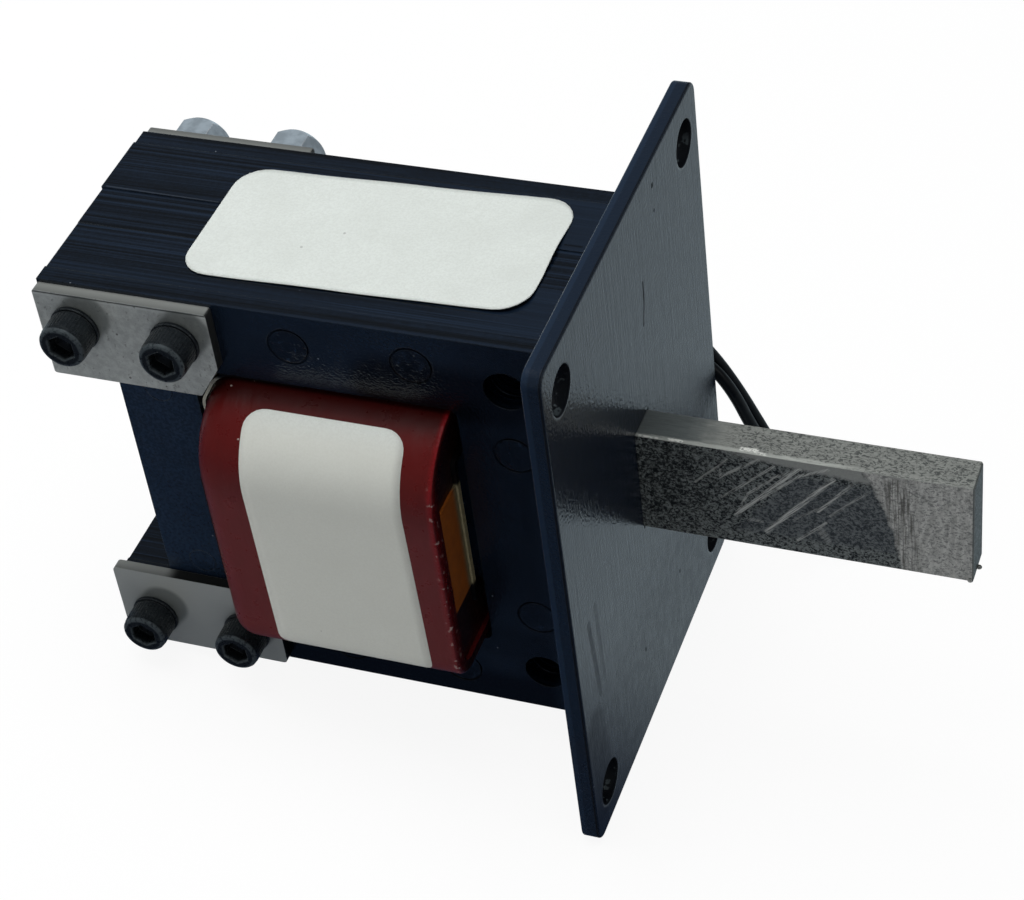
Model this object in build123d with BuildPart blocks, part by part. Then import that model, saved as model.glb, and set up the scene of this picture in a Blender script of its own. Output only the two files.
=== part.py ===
"""Push-type laminated alternating-current solenoid with a flange mount.

A C-shaped field of laminations between two side plates carries a varnished coil. A T-shaped
plunger slides between the legs of the field, and its flat push bar runs through the pole, the
web and the flange.

Millimetres. The origin is the centre of the flange's front face. +X points out of the flange
along the push bar, +Z towards the labelled top of the field, and Y runs across the lamination
stack, with the screw heads on the -Y side, called near, and the nuts on the +Y side, called far.
"""
import os
from math import radians, tan

from build123d import *

os.makedirs("parts", exist_ok=True)

# Flange
flange_height = 101.6
flange_width = 74.6
flange_thickness = 3.175
flange_corner_radius = 2.6
flange_edge_radius = 0.4
flange_hole_inset_y = 7.14
flange_hole_inset_z = 7.94
flange_hole_diameter = 7.94

# Field stack, a C lying on its back with the opening at the rear. Its length follows from the
# web, the coil and the plunger's head.
stack_height = 79.38
stack_width = 39.68
side_plate_thickness = 3.175
leg_width = 14.29
web_width = 19.05
window_corner_radius = 1.6
pole_length = 9.53
pole_height = 28.58
near_joint_y = -5.0
far_joint_y = 4.3
packet_drops = {"near": 0.12, "centre": 0.2, "far": 0.0}
packet_setbacks = {"near": 0.15, "centre": 0.0, "far": -0.3}

# Rivets and holes through the field, placed from the flange's back face and the legs
field_rivet_diameter = 6.35
rivet_groove_width = 0.35
rivet_groove_depth = 0.4
rivet_clearance = 0.05
web_hole_inset = 10.4
web_rivet_z = 17.9
leg_rivet_insets = (25.4, 45.8)
leg_rivet_z = 33.3
side_hole_diameter = 7.14
side_hole_z = 31.0

# Guide plates clamped over the rear ends of the legs
guide_plate_length = 30.2
guide_plate_height = 17.2
guide_plate_thickness = 2.0
guide_plate_corner_radius = 1.6
guide_plate_edge = 0.3
guide_plate_lap = 3.5
guide_plate_coil_clearance = 0.3
guide_plate_relief_rise = 2.6

# Screws and lock nuts through guide plates and legs
screw_diameter = 4.83
screw_hole_clearance = 0.2
screw_spacing = 17.46
screw_protrusion = -0.1
screw_head_diameter = 7.92
screw_head_height = 4.83
screw_head_chamfer = 0.45
screw_socket_flats = 3.97
screw_socket_depth = 2.3
nut_flats = 9.53
nut_height = 7.2
nut_shoulder_height = 5.3
nut_crown_height = 6.5
nut_crown_flat = 3.9
nut_insert_diameter = 6.6
nut_insert_depth = 1.4

# Push bar
bar_thickness = 6.35
bar_height = 19.84
bar_reach = 53.98
bar_anchor_inset = 5.8
bar_edge = 0.25
bar_slot_clearance = 0.35

# Plunger, a T with its head between the legs
head_setback = 9.95
head_thickness = 13.87
head_coil_gap = 2.73
leg_clearance = 0.5
plunger_side_clearance = 0.34
plunger_seat_gap = 0.25
plunger_pin_diameter = 6.35
plunger_pin_stations = (0.3, 0.78)
plunger_rivet_diameter = 4.76
plunger_rivet_z = 19.4
bar_pocket_clearance = 0.05

# Shading ring in the pole face
ring_bar = 1.6
ring_depth = 2.4
ring_z = 12.1
ring_clearance = 0.1

# Coil
coil_length = 41.4
coil_front_gap = 1.1
coil_half_width = 31.3
coil_top_gap = 1.0
coil_bottom_gap = 0.3
coil_upper_corner = 13.5
coil_lower_corner = 5.2
coil_rear_edge = 4.6
coil_front_edge = 0.7
jacket_thickness = 2.4
tube_wall = 1.0
tube_clearance = 0.45
winding_clearance = 0.1
winding_recess = 0.7
strip_height = 21.8
strip_thickness = 0.4

# Retaining spring over the coil's upper rear edge, under the upper leg
spring_thickness = 0.5
spring_clearance = 0.15
spring_tab_length = 12.0
spring_side_inset = 0.5
spring_wrap_angle = 60
spring_straight = 3.2
spring_curl_radius = 4.5
spring_curl_angle = 56

# Labels
label_thickness = 0.15
frame_label_length = 57.3
frame_label_width = 27.4
frame_label_corner = 4.9
frame_label_centre = (-41.2, 1.1)
frame_label_turn = 1.9
coil_label_width = 27.2
coil_label_front_margin = 5.2
coil_label_top = 23.2
coil_label_bottom = -23.5

# Welds between the side plates and the flange
weld_leg = 2.8
weld_length = 17.0
weld_pitch = 27.0
weld_count = 3

# Lead wires
lead_diameter = 2.2
lead_tip_diameter = 1.3
lead_tip_length = 7.0
lead_pitch = 3.6
boot_length = 17.0
boot_height = 13.0
boot_thickness = 6.2
boot_edge = 1.6
boot_front_inset = 5.3
sleeve_diameter = 3.2
sleeve_length = 6.0
boot_lead_offset = 3.2
lead_lift = 0.05

# Places that several pieces share
flange_back_x = -flange_thickness
stack_length = web_width + coil_front_gap + coil_length + head_coil_gap + head_thickness + head_setback
stack_rear_x = flange_back_x - stack_length
screw_length = stack_width + 2 * guide_plate_thickness + nut_height + screw_protrusion
stack_top_z = stack_height / 2
side_y = stack_width / 2
lamination_y = side_y - side_plate_thickness
leg_inner_z = stack_top_z - leg_width
window_front_x = flange_back_x - web_width
pole_face_x = window_front_x - pole_length
web_hole_x = flange_back_x - web_hole_inset
guide_plate_centre_x = stack_rear_x + guide_plate_length / 2
guide_plate_centre_z = leg_inner_z - guide_plate_lap + guide_plate_height / 2
screw_z = stack_top_z - leg_width / 2
screw_xs = (guide_plate_centre_x - screw_spacing / 2, guide_plate_centre_x + screw_spacing / 2)
screw_points = [(x, z) for z in (screw_z, -screw_z) for x in screw_xs]
web_rivet_points = [(web_hole_x, z) for z in (web_rivet_z, -web_rivet_z)]
leg_rivet_points = [(flange_back_x - inset, z) for z in (leg_rivet_z, -leg_rivet_z) for inset in leg_rivet_insets]
field_rivet_points = web_rivet_points + leg_rivet_points
side_hole_points = [(web_hole_x, z) for z in (side_hole_z, -side_hole_z)]
head_rear_x = stack_rear_x + head_setback
head_front_x = head_rear_x + head_thickness
stem_end_x = pole_face_x - plunger_seat_gap
coil_front_x = window_front_x - coil_front_gap
coil_rear_x = coil_front_x - coil_length
coil_top_z = leg_inner_z - coil_top_gap
coil_bottom_z = coil_bottom_gap - leg_inner_z
coil_rear_rounding = min(coil_rear_edge, coil_lower_corner - 0.4)
tube_inner_y = side_y + tube_clearance
tube_inner_z = pole_height / 2 + tube_clearance


def slab_plane(far_y):
    """Plane across Y at far_y, whose extrusions run towards the near side."""
    return Plane.XZ.offset(-far_y)


def field_profile(rear_x, top_z, has_pole):
    """C of the field seen from the side, with its open end at rear_x, in the active sketch."""
    with BuildLine() as outline:
        Polyline(
            (flange_back_x, top_z),
            (rear_x, top_z),
            (rear_x, leg_inner_z),
            (window_front_x, leg_inner_z),
            (window_front_x, -leg_inner_z),
            (rear_x, -leg_inner_z),
            (rear_x, -top_z),
            (flange_back_x, -top_z),
            close=True,
        )
    face = make_face(outline.edges())
    inner = face.vertices().filter_by_position(Axis.X, window_front_x - 0.01, window_front_x + 0.01)
    fillet(inner.filter_by_position(Axis.Y, -leg_inner_z - 0.01, leg_inner_z + 0.01), window_corner_radius)
    if has_pole:
        with Locations((window_front_x - pole_length / 2 + 1, 0)):
            Rectangle(pole_length + 2, pole_height)
        ring_slot = ring_bar + 2 * ring_clearance
        with Locations((pole_face_x + ring_depth / 2, ring_z), (pole_face_x + ring_depth / 2, -ring_z)):
            Rectangle(ring_depth, ring_slot, mode=Mode.SUBTRACT)


def cut_field_holes():
    """Rivet, side and screw holes of the field, in the active sketch."""
    with Locations(*field_rivet_points):
        Circle(field_rivet_diameter / 2 + rivet_clearance, mode=Mode.SUBTRACT)
    with Locations(*side_hole_points):
        Circle(side_hole_diameter / 2, mode=Mode.SUBTRACT)
    with Locations(*screw_points):
        Circle(screw_diameter / 2 + screw_hole_clearance, mode=Mode.SUBTRACT)


def guide_plate_outline(up):
    """Guide plate with its corner by the coil cut off, above the axis where up is 1 and below where it is -1."""
    inner_z = guide_plate_centre_z - guide_plate_height / 2
    outer_z = inner_z + guide_plate_height
    front_x = stack_rear_x + guide_plate_length
    relief_x = min(coil_rear_x - guide_plate_coil_clearance, front_x - 1)
    relief_z = leg_inner_z + guide_plate_relief_rise
    with BuildLine() as outline:
        Polyline(
            (stack_rear_x, up * inner_z),
            (relief_x, up * inner_z),
            (front_x, up * relief_z),
            (front_x, up * outer_z),
            (stack_rear_x, up * outer_z),
            close=True,
        )
    plate = make_face(outline.edges())
    fillet(plate.vertices(), guide_plate_corner_radius)


def finish(part, name):
    """Label one piece and write it to its own file."""
    part.label = name
    export_step(part, f"parts/{name}.step")
    return part


# Mounting flange
with BuildPart() as mounting_flange:
    with BuildSketch(Plane.YZ.offset(flange_back_x)):
        RectangleRounded(flange_width, flange_height, flange_corner_radius)
        hole_spacing_y = flange_width - 2 * flange_hole_inset_y
        hole_spacing_z = flange_height - 2 * flange_hole_inset_z
        with GridLocations(hole_spacing_y, hole_spacing_z, 2, 2):
            Circle(flange_hole_diameter / 2, mode=Mode.SUBTRACT)
        Rectangle(bar_thickness + 2 * bar_slot_clearance, bar_height + 2 * bar_slot_clearance, mode=Mode.SUBTRACT)
    extrude(amount=flange_thickness)
    rims = mounting_flange.faces().filter_by(Axis.X)
    fillet([rims.sort_by(Axis.X)[-1].outer_wire().edges(), rims.sort_by(Axis.X)[0].outer_wire().edges()],
           flange_edge_radius)
finish(mounting_flange.part, "mounting_flange")

# Lamination packets
packet_spans = {
    "near": (-lamination_y, near_joint_y),
    "centre": (near_joint_y, far_joint_y),
    "far": (far_joint_y, lamination_y),
}
for packet, (near_y, far_y) in packet_spans.items():
    with BuildPart() as lamination_packet:
        with BuildSketch(slab_plane(far_y)):
            field_profile(stack_rear_x + packet_setbacks[packet], stack_top_z - packet_drops[packet], True)
            cut_field_holes()
        extrude(amount=far_y - near_y)
        with BuildSketch(Plane.YZ.offset(pole_face_x)):
            Rectangle(bar_thickness + 2 * bar_slot_clearance, bar_height + 2 * bar_slot_clearance)
        extrude(amount=pole_length + web_width, mode=Mode.SUBTRACT)
    finish(lamination_packet.part, f"{packet}_lamination_packet")

# Side plates of the field
for side, outer_y in (("near", -side_y), ("far", side_y)):
    inner_y = outer_y - side_plate_thickness if side == "far" else outer_y + side_plate_thickness
    with BuildPart() as side_plate:
        with BuildSketch(slab_plane(max(inner_y, outer_y))):
            field_profile(stack_rear_x, stack_top_z, False)
            cut_field_holes()
        extrude(amount=side_plate_thickness)
        groove_far_y = outer_y if side == "far" else outer_y + rivet_groove_depth
        with BuildSketch(slab_plane(groove_far_y)):
            with Locations(*field_rivet_points):
                Circle(field_rivet_diameter / 2 + rivet_groove_width)
        extrude(amount=rivet_groove_depth, mode=Mode.SUBTRACT)
    finish(side_plate.part, f"{side}_side_plate")

# Field rivets
with BuildPart() as field_rivets:
    with BuildSketch(slab_plane(side_y)):
        with Locations(*field_rivet_points):
            Circle(field_rivet_diameter / 2)
    extrude(amount=stack_width)
finish(field_rivets.part, "field_rivets")

# Stitch welds in the corners between side plates and flange
with BuildPart() as flange_welds:
    for stitch in range(weld_count):
        weld_z = (stitch - (weld_count - 1) / 2) * weld_pitch - weld_length / 2
        with BuildSketch(Plane.XY.offset(weld_z)):
            with BuildLine():
                corner = (flange_back_x, side_y)
                foot = (flange_back_x - weld_leg, side_y)
                rise = (flange_back_x, side_y + weld_leg)
                Line(corner, foot)
                SagittaArc(foot, rise, weld_leg / 6)
                Line(rise, corner)
            make_face()
            mirror(about=Plane.XZ)
        extrude(amount=weld_length)
finish(flange_welds.part, "flange_welds")

# Guide plates
for level, up in (("upper", 1), ("lower", -1)):
    for side, inner_y in (("near", -side_y), ("far", side_y)):
        far_face_y = inner_y if side == "near" else inner_y + guide_plate_thickness
        with BuildPart() as guide_plate:
            with BuildSketch(slab_plane(far_face_y)):
                guide_plate_outline(up)
                with Locations(*[(x, up * screw_z) for x in screw_xs]):
                    Circle(screw_diameter / 2 + screw_hole_clearance, mode=Mode.SUBTRACT)
            extrude(amount=guide_plate_thickness)
            broad_faces = guide_plate.faces().filter_by(Axis.Y)
            outer_face = broad_faces.sort_by(Axis.Y)[0 if side == "near" else -1]
            chamfer(outer_face.outer_wire().edges(), guide_plate_edge)
        finish(guide_plate.part, f"{level}_{side}_guide_plate")

# Socket head cap screws
head_seat_y = -side_y - guide_plate_thickness
with BuildPart() as clamp_screws:
    with BuildSketch(slab_plane(head_seat_y)):
        with Locations(*screw_points):
            Circle(screw_head_diameter / 2)
    extrude(amount=screw_head_height)
    rim_edges = clamp_screws.faces().sort_by(Axis.Y)[:len(screw_points)].edges()
    chamfer(rim_edges, screw_head_chamfer)
    with BuildSketch(slab_plane(head_seat_y + screw_length)):
        with Locations(*screw_points):
            Circle(screw_diameter / 2)
    extrude(amount=screw_length)
    tip_edges = clamp_screws.faces().sort_by(Axis.Y)[-len(screw_points):].edges()
    chamfer(tip_edges, screw_head_chamfer)
    with BuildSketch(slab_plane(head_seat_y - screw_head_height + screw_socket_depth)):
        with Locations(*screw_points):
            RegularPolygon(screw_socket_flats / 2, 6, major_radius=False)
    extrude(amount=screw_socket_depth, mode=Mode.SUBTRACT)
finish(clamp_screws.part, "clamp_screws")

# Lock nuts, hexagons with a flat on top and a domed end over a nylon insert
nut_seat_y = side_y + guide_plate_thickness
nut_end_y = nut_seat_y + nut_height
nut_corner_radius = nut_flats / 3 ** 0.5
with BuildPart() as lock_nuts:
    with BuildSketch(slab_plane(nut_end_y)):
        with Locations(*screw_points):
            RegularPolygon(nut_flats / 2, 6, major_radius=False)
    extrude(amount=nut_height)
    for nut_x, nut_z in screw_points:
        with BuildSketch(Plane.XY.offset(nut_z)):
            with BuildLine():
                Polyline(
                    (nut_x + nut_corner_radius, nut_seat_y + nut_shoulder_height),
                    (nut_x + nut_flats / 2, nut_seat_y + nut_crown_height),
                    (nut_x + nut_crown_flat, nut_end_y),
                    (nut_x + nut_corner_radius + 1, nut_end_y),
                    (nut_x + nut_corner_radius + 1, nut_seat_y + nut_shoulder_height),
                    close=True,
                )
            make_face()
        revolve(axis=Axis((nut_x, 0, nut_z), (0, 1, 0)), mode=Mode.SUBTRACT)
    with BuildSketch(slab_plane(nut_end_y)):
        with Locations(*screw_points):
            Circle(screw_diameter / 2 + rivet_clearance)
    extrude(amount=nut_height, mode=Mode.SUBTRACT)
    with BuildSketch(slab_plane(nut_end_y)):
        with Locations(*screw_points):
            Circle(nut_insert_diameter / 2)
    extrude(amount=nut_insert_depth, mode=Mode.SUBTRACT)
finish(lock_nuts.part, "lock_nuts")

# Nylon inserts of the lock nuts
with BuildPart() as nut_inserts:
    with BuildSketch(slab_plane(nut_end_y - 2 * rivet_clearance)):
        with Locations(*screw_points):
            Circle(nut_insert_diameter / 2 - rivet_clearance)
        with Locations(*screw_points):
            Circle(screw_diameter / 2 + rivet_clearance, mode=Mode.SUBTRACT)
    extrude(amount=nut_insert_depth - 2 * rivet_clearance)
finish(nut_inserts.part, "nut_inserts")

# Copper shading ring, let into two slots of the pole face and bent round its sides
ring_outer_y = lamination_y + ring_clearance + ring_bar
with BuildPart() as shading_ring:
    with BuildSketch(Plane.YZ.offset(pole_face_x + ring_clearance)):
        RectangleRounded(2 * ring_outer_y, 2 * ring_z + ring_bar, ring_bar / 2)
        Rectangle(2 * (ring_outer_y - ring_bar), 2 * ring_z - ring_bar, mode=Mode.SUBTRACT)
    extrude(amount=ring_depth - 2 * ring_clearance)
finish(shading_ring.part, "shading_ring")


def coil_outline(grow, mode=Mode.ADD):
    """Outline of the varnished coil seen from the front, grown by an amount, in the active sketch."""
    y = coil_half_width + grow
    top = coil_top_z + grow
    bottom = coil_bottom_z - grow
    upper = coil_upper_corner + grow
    lower = coil_lower_corner + grow
    corners = [(y, bottom), (y, top), (-y, top), (-y, bottom)]
    with BuildLine() as outline:
        FilletPolyline(*corners, radius=[lower, upper, upper, lower], close=True)
    make_face(outline.edges(), mode=mode)


# Insulating tube that the coil is wound on
with BuildPart() as coil_tube:
    with BuildSketch(Plane.YZ.offset(coil_rear_x)):
        RectangleRounded(2 * (tube_inner_y + tube_wall), 2 * (tube_inner_z + tube_wall), tube_wall * 1.5)
        RectangleRounded(2 * tube_inner_y, 2 * tube_inner_z, tube_wall / 2, mode=Mode.SUBTRACT)
    extrude(amount=coil_length)
finish(coil_tube.part, "coil_tube")

# Copper winding, round the tube and inside the jacket
with BuildPart() as coil_winding:
    with BuildSketch(Plane.YZ.offset(coil_rear_x + winding_recess)):
        coil_outline(-jacket_thickness - winding_clearance)
        core_y = tube_inner_y + tube_wall + winding_clearance
        core_z = tube_inner_z + tube_wall + winding_clearance
        RectangleRounded(2 * core_y, 2 * core_z, tube_wall * 1.5, mode=Mode.SUBTRACT)
    extrude(amount=coil_length - 2 * winding_recess)
finish(coil_winding.part, "coil_winding")

# Varnished outer jacket of the coil
with BuildPart() as coil_jacket:
    with BuildSketch(Plane.YZ.offset(coil_rear_x)):
        coil_outline(0)
    extrude(amount=coil_length)
    ends = coil_jacket.faces().filter_by(Axis.X).sort_by(Axis.X)
    fillet(ends[0].edges(), coil_rear_rounding)
    fillet(coil_jacket.faces().filter_by(Axis.X).sort_by(Axis.X)[-1].edges(), coil_front_edge)
    with BuildSketch(Plane.YZ.offset(coil_rear_x)):
        coil_outline(-jacket_thickness)
    extrude(amount=coil_length, mode=Mode.SUBTRACT)
finish(coil_jacket.part, "coil_jacket")

# Amber insulating strips on the ends of the winding
strip_inner_y = tube_inner_y + tube_wall + winding_clearance
strip_outer_y = coil_half_width - jacket_thickness - winding_clearance
with BuildPart() as insulating_strips:
    for strip_x in (coil_rear_x + winding_recess - strip_thickness, coil_front_x - winding_recess):
        with BuildSketch(Plane.YZ.offset(strip_x)):
            for across in (1, -1):
                with Locations((across * (strip_inner_y + strip_outer_y) / 2, 0)):
                    Rectangle(strip_outer_y - strip_inner_y, strip_height)
        extrude(amount=strip_thickness)
finish(insulating_strips.part, "insulating_strips")

# Leaf spring that holds the coil down and forward: a tab under the leg, bent over the coil's edge
hug_radius = coil_rear_rounding + spring_clearance + spring_thickness / 2
hug_centre = (coil_rear_x + coil_rear_rounding, coil_top_z - coil_rear_rounding)
with BuildPart() as retaining_spring:
    with BuildSketch(slab_plane(side_y - spring_side_inset)):
        with BuildLine() as spring_path:
            tab_end = (hug_centre[0], hug_centre[1] + hug_radius)
            Line((tab_end[0] + spring_tab_length, tab_end[1]), tab_end)
            wrap = CenterArc(hug_centre, hug_radius, 90, spring_wrap_angle)
            slope = wrap % 1
            run = Line(wrap @ 1, wrap @ 1 + slope * spring_straight)
            curl_centre = run @ 1 + Vector(-slope.Y, slope.X) * spring_curl_radius
            curl_start = 90 + spring_wrap_angle
            CenterArc(curl_centre, spring_curl_radius, curl_start, spring_curl_angle)
        trace(line_width=spring_thickness)
    extrude(amount=2 * (side_y - spring_side_inset))
finish(retaining_spring.part, "retaining_spring")

# Plunger laminations with a pocket for the push bar
head_half_z = leg_inner_z - leg_clearance
plunger_y = side_y - plunger_side_clearance
plunger_core_y = lamination_y - plunger_side_clearance
stem_half_z = pole_height / 2
bar_rear_x = head_rear_x + bar_anchor_inset
stem_length = stem_end_x - head_front_x
pin_points = [(head_front_x + share * stem_length, 0) for share in plunger_pin_stations]
rivet_points = [((head_rear_x + head_front_x) / 2, z) for z in (plunger_rivet_z, -plunger_rivet_z)]


def plunger_profile():
    """T of the plunger seen from the side, with its rivet and pin holes, in the active sketch."""
    with Locations(((head_rear_x + head_front_x) / 2, 0)):
        Rectangle(head_thickness, 2 * head_half_z)
    with Locations(((head_rear_x + stem_end_x) / 2, 0)):
        Rectangle(stem_end_x - head_rear_x, 2 * stem_half_z)
    with Locations(*pin_points):
        Circle(plunger_pin_diameter / 2 + rivet_clearance, mode=Mode.SUBTRACT)
    with Locations(*rivet_points):
        Circle(plunger_rivet_diameter / 2 + rivet_clearance, mode=Mode.SUBTRACT)


with BuildPart() as plunger_laminations:
    with BuildSketch(slab_plane(plunger_core_y)):
        plunger_profile()
    extrude(amount=2 * plunger_core_y)
    with BuildSketch(Plane.YZ.offset(bar_rear_x - bar_pocket_clearance)):
        Rectangle(bar_thickness + 2 * bar_pocket_clearance, bar_height + 2 * bar_pocket_clearance)
    extrude(amount=stem_end_x - bar_rear_x + bar_pocket_clearance, mode=Mode.SUBTRACT)
finish(plunger_laminations.part, "plunger_laminations")

# Side plates of the plunger
for side, far_face_y in (("near", -plunger_core_y), ("far", plunger_y)):
    with BuildPart() as plunger_plate:
        with BuildSketch(slab_plane(far_face_y)):
            plunger_profile()
        extrude(amount=plunger_y - plunger_core_y)
    finish(plunger_plate.part, f"plunger_{side}_plate")

# Rivets of the plunger head
with BuildPart() as plunger_rivets:
    with BuildSketch(slab_plane(plunger_y)):
        with Locations(*rivet_points):
            Circle(plunger_rivet_diameter / 2)
    extrude(amount=2 * plunger_y)
finish(plunger_rivets.part, "plunger_rivets")

# Pins through the stem and the push bar
with BuildPart() as bar_pins:
    with BuildSketch(slab_plane(plunger_y)):
        with Locations(*pin_points):
            Circle(plunger_pin_diameter / 2)
    extrude(amount=2 * plunger_y)
finish(bar_pins.part, "bar_pins")

# Push bar
with BuildPart() as push_bar:
    with BuildSketch(Plane.YZ.offset(bar_rear_x)):
        Rectangle(bar_thickness, bar_height)
    extrude(amount=bar_reach - bar_rear_x)
    chamfer(push_bar.faces().sort_by(Axis.X)[-1].edges(), bar_edge)
    with BuildSketch(slab_plane(bar_thickness / 2)):
        with Locations(*pin_points):
            Circle(plunger_pin_diameter / 2 + rivet_clearance)
    extrude(amount=bar_thickness, mode=Mode.SUBTRACT)
finish(push_bar.part, "push_bar")

# Paper label on top of the field
with BuildPart() as frame_label:
    with BuildSketch(Plane.XY.offset(stack_top_z)):
        with Locations(Location((*frame_label_centre, 0), (0, 0, frame_label_turn))):
            RectangleRounded(frame_label_length, frame_label_width, frame_label_corner)
    extrude(amount=label_thickness)
finish(frame_label.part, "frame_label")

# Paper label wrapped over the near face of the coil
with BuildPart() as coil_label:
    with BuildSketch(Plane.YZ.offset(coil_front_x - coil_label_front_margin - coil_label_width)):
        coil_outline(label_thickness)
        with Locations((-coil_half_width, (coil_label_top + coil_label_bottom) / 2)):
            Rectangle(coil_half_width, coil_label_top - coil_label_bottom, mode=Mode.INTERSECT)
    extrude(amount=coil_label_width)
    with BuildSketch(Plane.YZ.offset(coil_rear_x)):
        coil_outline(0)
    extrude(amount=coil_length, mode=Mode.SUBTRACT)
finish(coil_label.part, "coil_label")

# Boot where the lead wires leave the far face of the coil
boot_front_x = coil_front_x - boot_front_inset
with BuildPart() as lead_boot:
    with BuildSketch(slab_plane(coil_half_width + boot_thickness)):
        with Locations((boot_front_x - boot_length / 2, 0)):
            Rectangle(boot_length, boot_height)
    extrude(amount=boot_thickness)
    fillet(lead_boot.edges().filter_by(Axis.Y), boot_edge)
    fillet(lead_boot.faces().sort_by(Axis.Y)[-1].edges(), boot_edge)
finish(lead_boot.part, "lead_boot")

# Sleeves on the leads where they leave the boot
lead_exit_y = coil_half_width + boot_lead_offset
lead_exit_x = boot_front_x + sleeve_length
lead_exit_zs = {"a": lead_pitch / 2, "b": -lead_pitch / 2}
with BuildPart() as lead_sleeves:
    with BuildSketch(Plane.YZ.offset(boot_front_x)):
        with Locations(*[(lead_exit_y, z) for z in lead_exit_zs.values()]):
            Circle(sleeve_diameter / 2)
    extrude(amount=sleeve_length)
finish(lead_sleeves.part, "lead_sleeves")

# The leads lie on the surface that the flange's lower edge and the stack's lower rear edge rest on
lie_slope = (flange_height / 2 - stack_top_z) / -stack_rear_x
lead_edge_y = flange_width / 2
drop_per_height = flange_height / 100


def lying_z(x):
    """Height of a lead's centre line where it lies on that surface."""
    return -flange_height / 2 - lie_slope * x + lead_diameter / 2 + lead_lift


def lead_route(name, straight, falling, lying):
    """Points of a lead: out of its sleeve, down past the flange's far edge, then on the surface.

    The falling points give the distance out from the flange's edge, and the drop as a share of the
    flange's height in percent. The lying points give the distance out from the edge.
    """
    start = (lead_exit_x, lead_exit_y, lead_exit_zs[name])
    points = [start, (lead_exit_x + straight, lead_exit_y, lead_exit_zs[name])]
    points += [(x, lead_edge_y + out, -drop * drop_per_height) for x, out, drop in falling]
    points += [(x, lead_edge_y + out, lying_z(x)) for x, out in lying]
    return points


lead_routes = {
    "a": lead_route(
        "a",
        7.6,
        [
            (-7.6, 1.7, 1.2),
            (-2.3, 4.5, 10.4),
            (2.1, 5.0, 18.3),
            (6.0, 5.3, 27.0),
            (10.5, 5.9, 37.4),
            (16.4, 7.1, 46.8),
        ],
        [
            (25.4, 8.3),
            (33.0, 10.4),
            (36.2, 17.3),
            (32.9, 24.2),
            (25.2, 26.2),
            (15.8, 25.1),
            (6.4, 22.9),
            (-2.2, 19.1),
        ],
    ),
    "b": lead_route(
        "b",
        6.8,
        [
            (-9.0, 0.1, 5.5),
            (-2.4, 1.8, 10.2),
            (2.1, 2.0, 16.1),
            (5.7, 2.2, 25.8),
            (11.6, 2.6, 36.6),
            (19.4, 3.9, 45.9),
        ],
        [
            (29.5, 6.1),
            (37.8, 10.1),
            (40.8, 18.2),
            (36.6, 25.9),
            (28.0, 29.1),
            (18.0, 28.9),
            (9.0, 27.3),
            (0.2, 24.1),
        ],
    ),
}


def bend_radii(points):
    """Radius of each bend of a route: as large as its two runs allow."""
    radii = []
    for before, here, after in zip(points, points[1:], points[2:]):
        run_in = Vector(*here) - Vector(*before)
        run_out = Vector(*after) - Vector(*here)
        turn = radians(run_in.get_angle(run_out))
        radii.append(0.45 * min(run_in.length, run_out.length) / tan(turn / 2))
    return radii


lead_ends = {}
for lead, route in lead_routes.items():
    radii = bend_radii(route)
    print("lead", lead, "bend radii", [round(radius, 1) for radius in radii])
    with BuildPart() as lead_wire:
        with BuildLine() as lead_path:
            FilletPolyline(*route, radius=radii)
        with BuildSketch(Plane(origin=route[0], z_dir=(1, 0, 0))):
            Circle(lead_diameter / 2)
        sweep(path=lead_path.wire())
    print("lead", lead, "length", round(lead_path.wire().length, 1))
    finish(lead_wire.part, f"lead_{lead}")
    lead_ends[lead] = (Vector(*route[-1]), (Vector(*route[-1]) - Vector(*route[-2])).normalized())

# Stripped and tinned ends of the leads
for lead, (end, direction) in lead_ends.items():
    with BuildPart() as lead_tip:
        with BuildSketch(Plane(origin=end, z_dir=direction)):
            Circle(lead_tip_diameter / 2)
        extrude(amount=lead_tip_length)
    finish(lead_tip.part, f"lead_tip_{lead}")
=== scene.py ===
"""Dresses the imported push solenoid: enamel, zinc plates, varnished coil, labels, leads and a studio."""
import math

import bmesh
import bpy
from mathutils import Matrix, Vector


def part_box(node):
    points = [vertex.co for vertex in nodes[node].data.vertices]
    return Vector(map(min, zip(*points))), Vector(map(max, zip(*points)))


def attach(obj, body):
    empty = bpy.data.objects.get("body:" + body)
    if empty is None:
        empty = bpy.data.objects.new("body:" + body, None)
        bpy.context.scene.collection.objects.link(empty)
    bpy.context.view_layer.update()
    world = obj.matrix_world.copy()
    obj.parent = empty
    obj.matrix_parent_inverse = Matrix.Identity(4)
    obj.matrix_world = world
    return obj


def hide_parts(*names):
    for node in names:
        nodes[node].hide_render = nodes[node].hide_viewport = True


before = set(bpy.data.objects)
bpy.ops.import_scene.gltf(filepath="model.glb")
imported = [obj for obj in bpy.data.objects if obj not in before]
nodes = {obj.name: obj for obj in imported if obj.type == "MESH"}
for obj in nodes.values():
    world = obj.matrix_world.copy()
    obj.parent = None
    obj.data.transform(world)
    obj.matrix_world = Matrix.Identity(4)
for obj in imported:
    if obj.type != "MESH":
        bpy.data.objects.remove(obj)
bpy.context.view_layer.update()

bl_info = {
    "name": "Push Solenoid",
    "version": (1, 0, 0),
    "blender": (4, 5, 0),
    "location": "View3D > Sidebar > Solenoid",
    "description": "Builds the finishes and fine pieces of a laminated push solenoid",
    "category": "Object",
}

MM = 0.001

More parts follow.
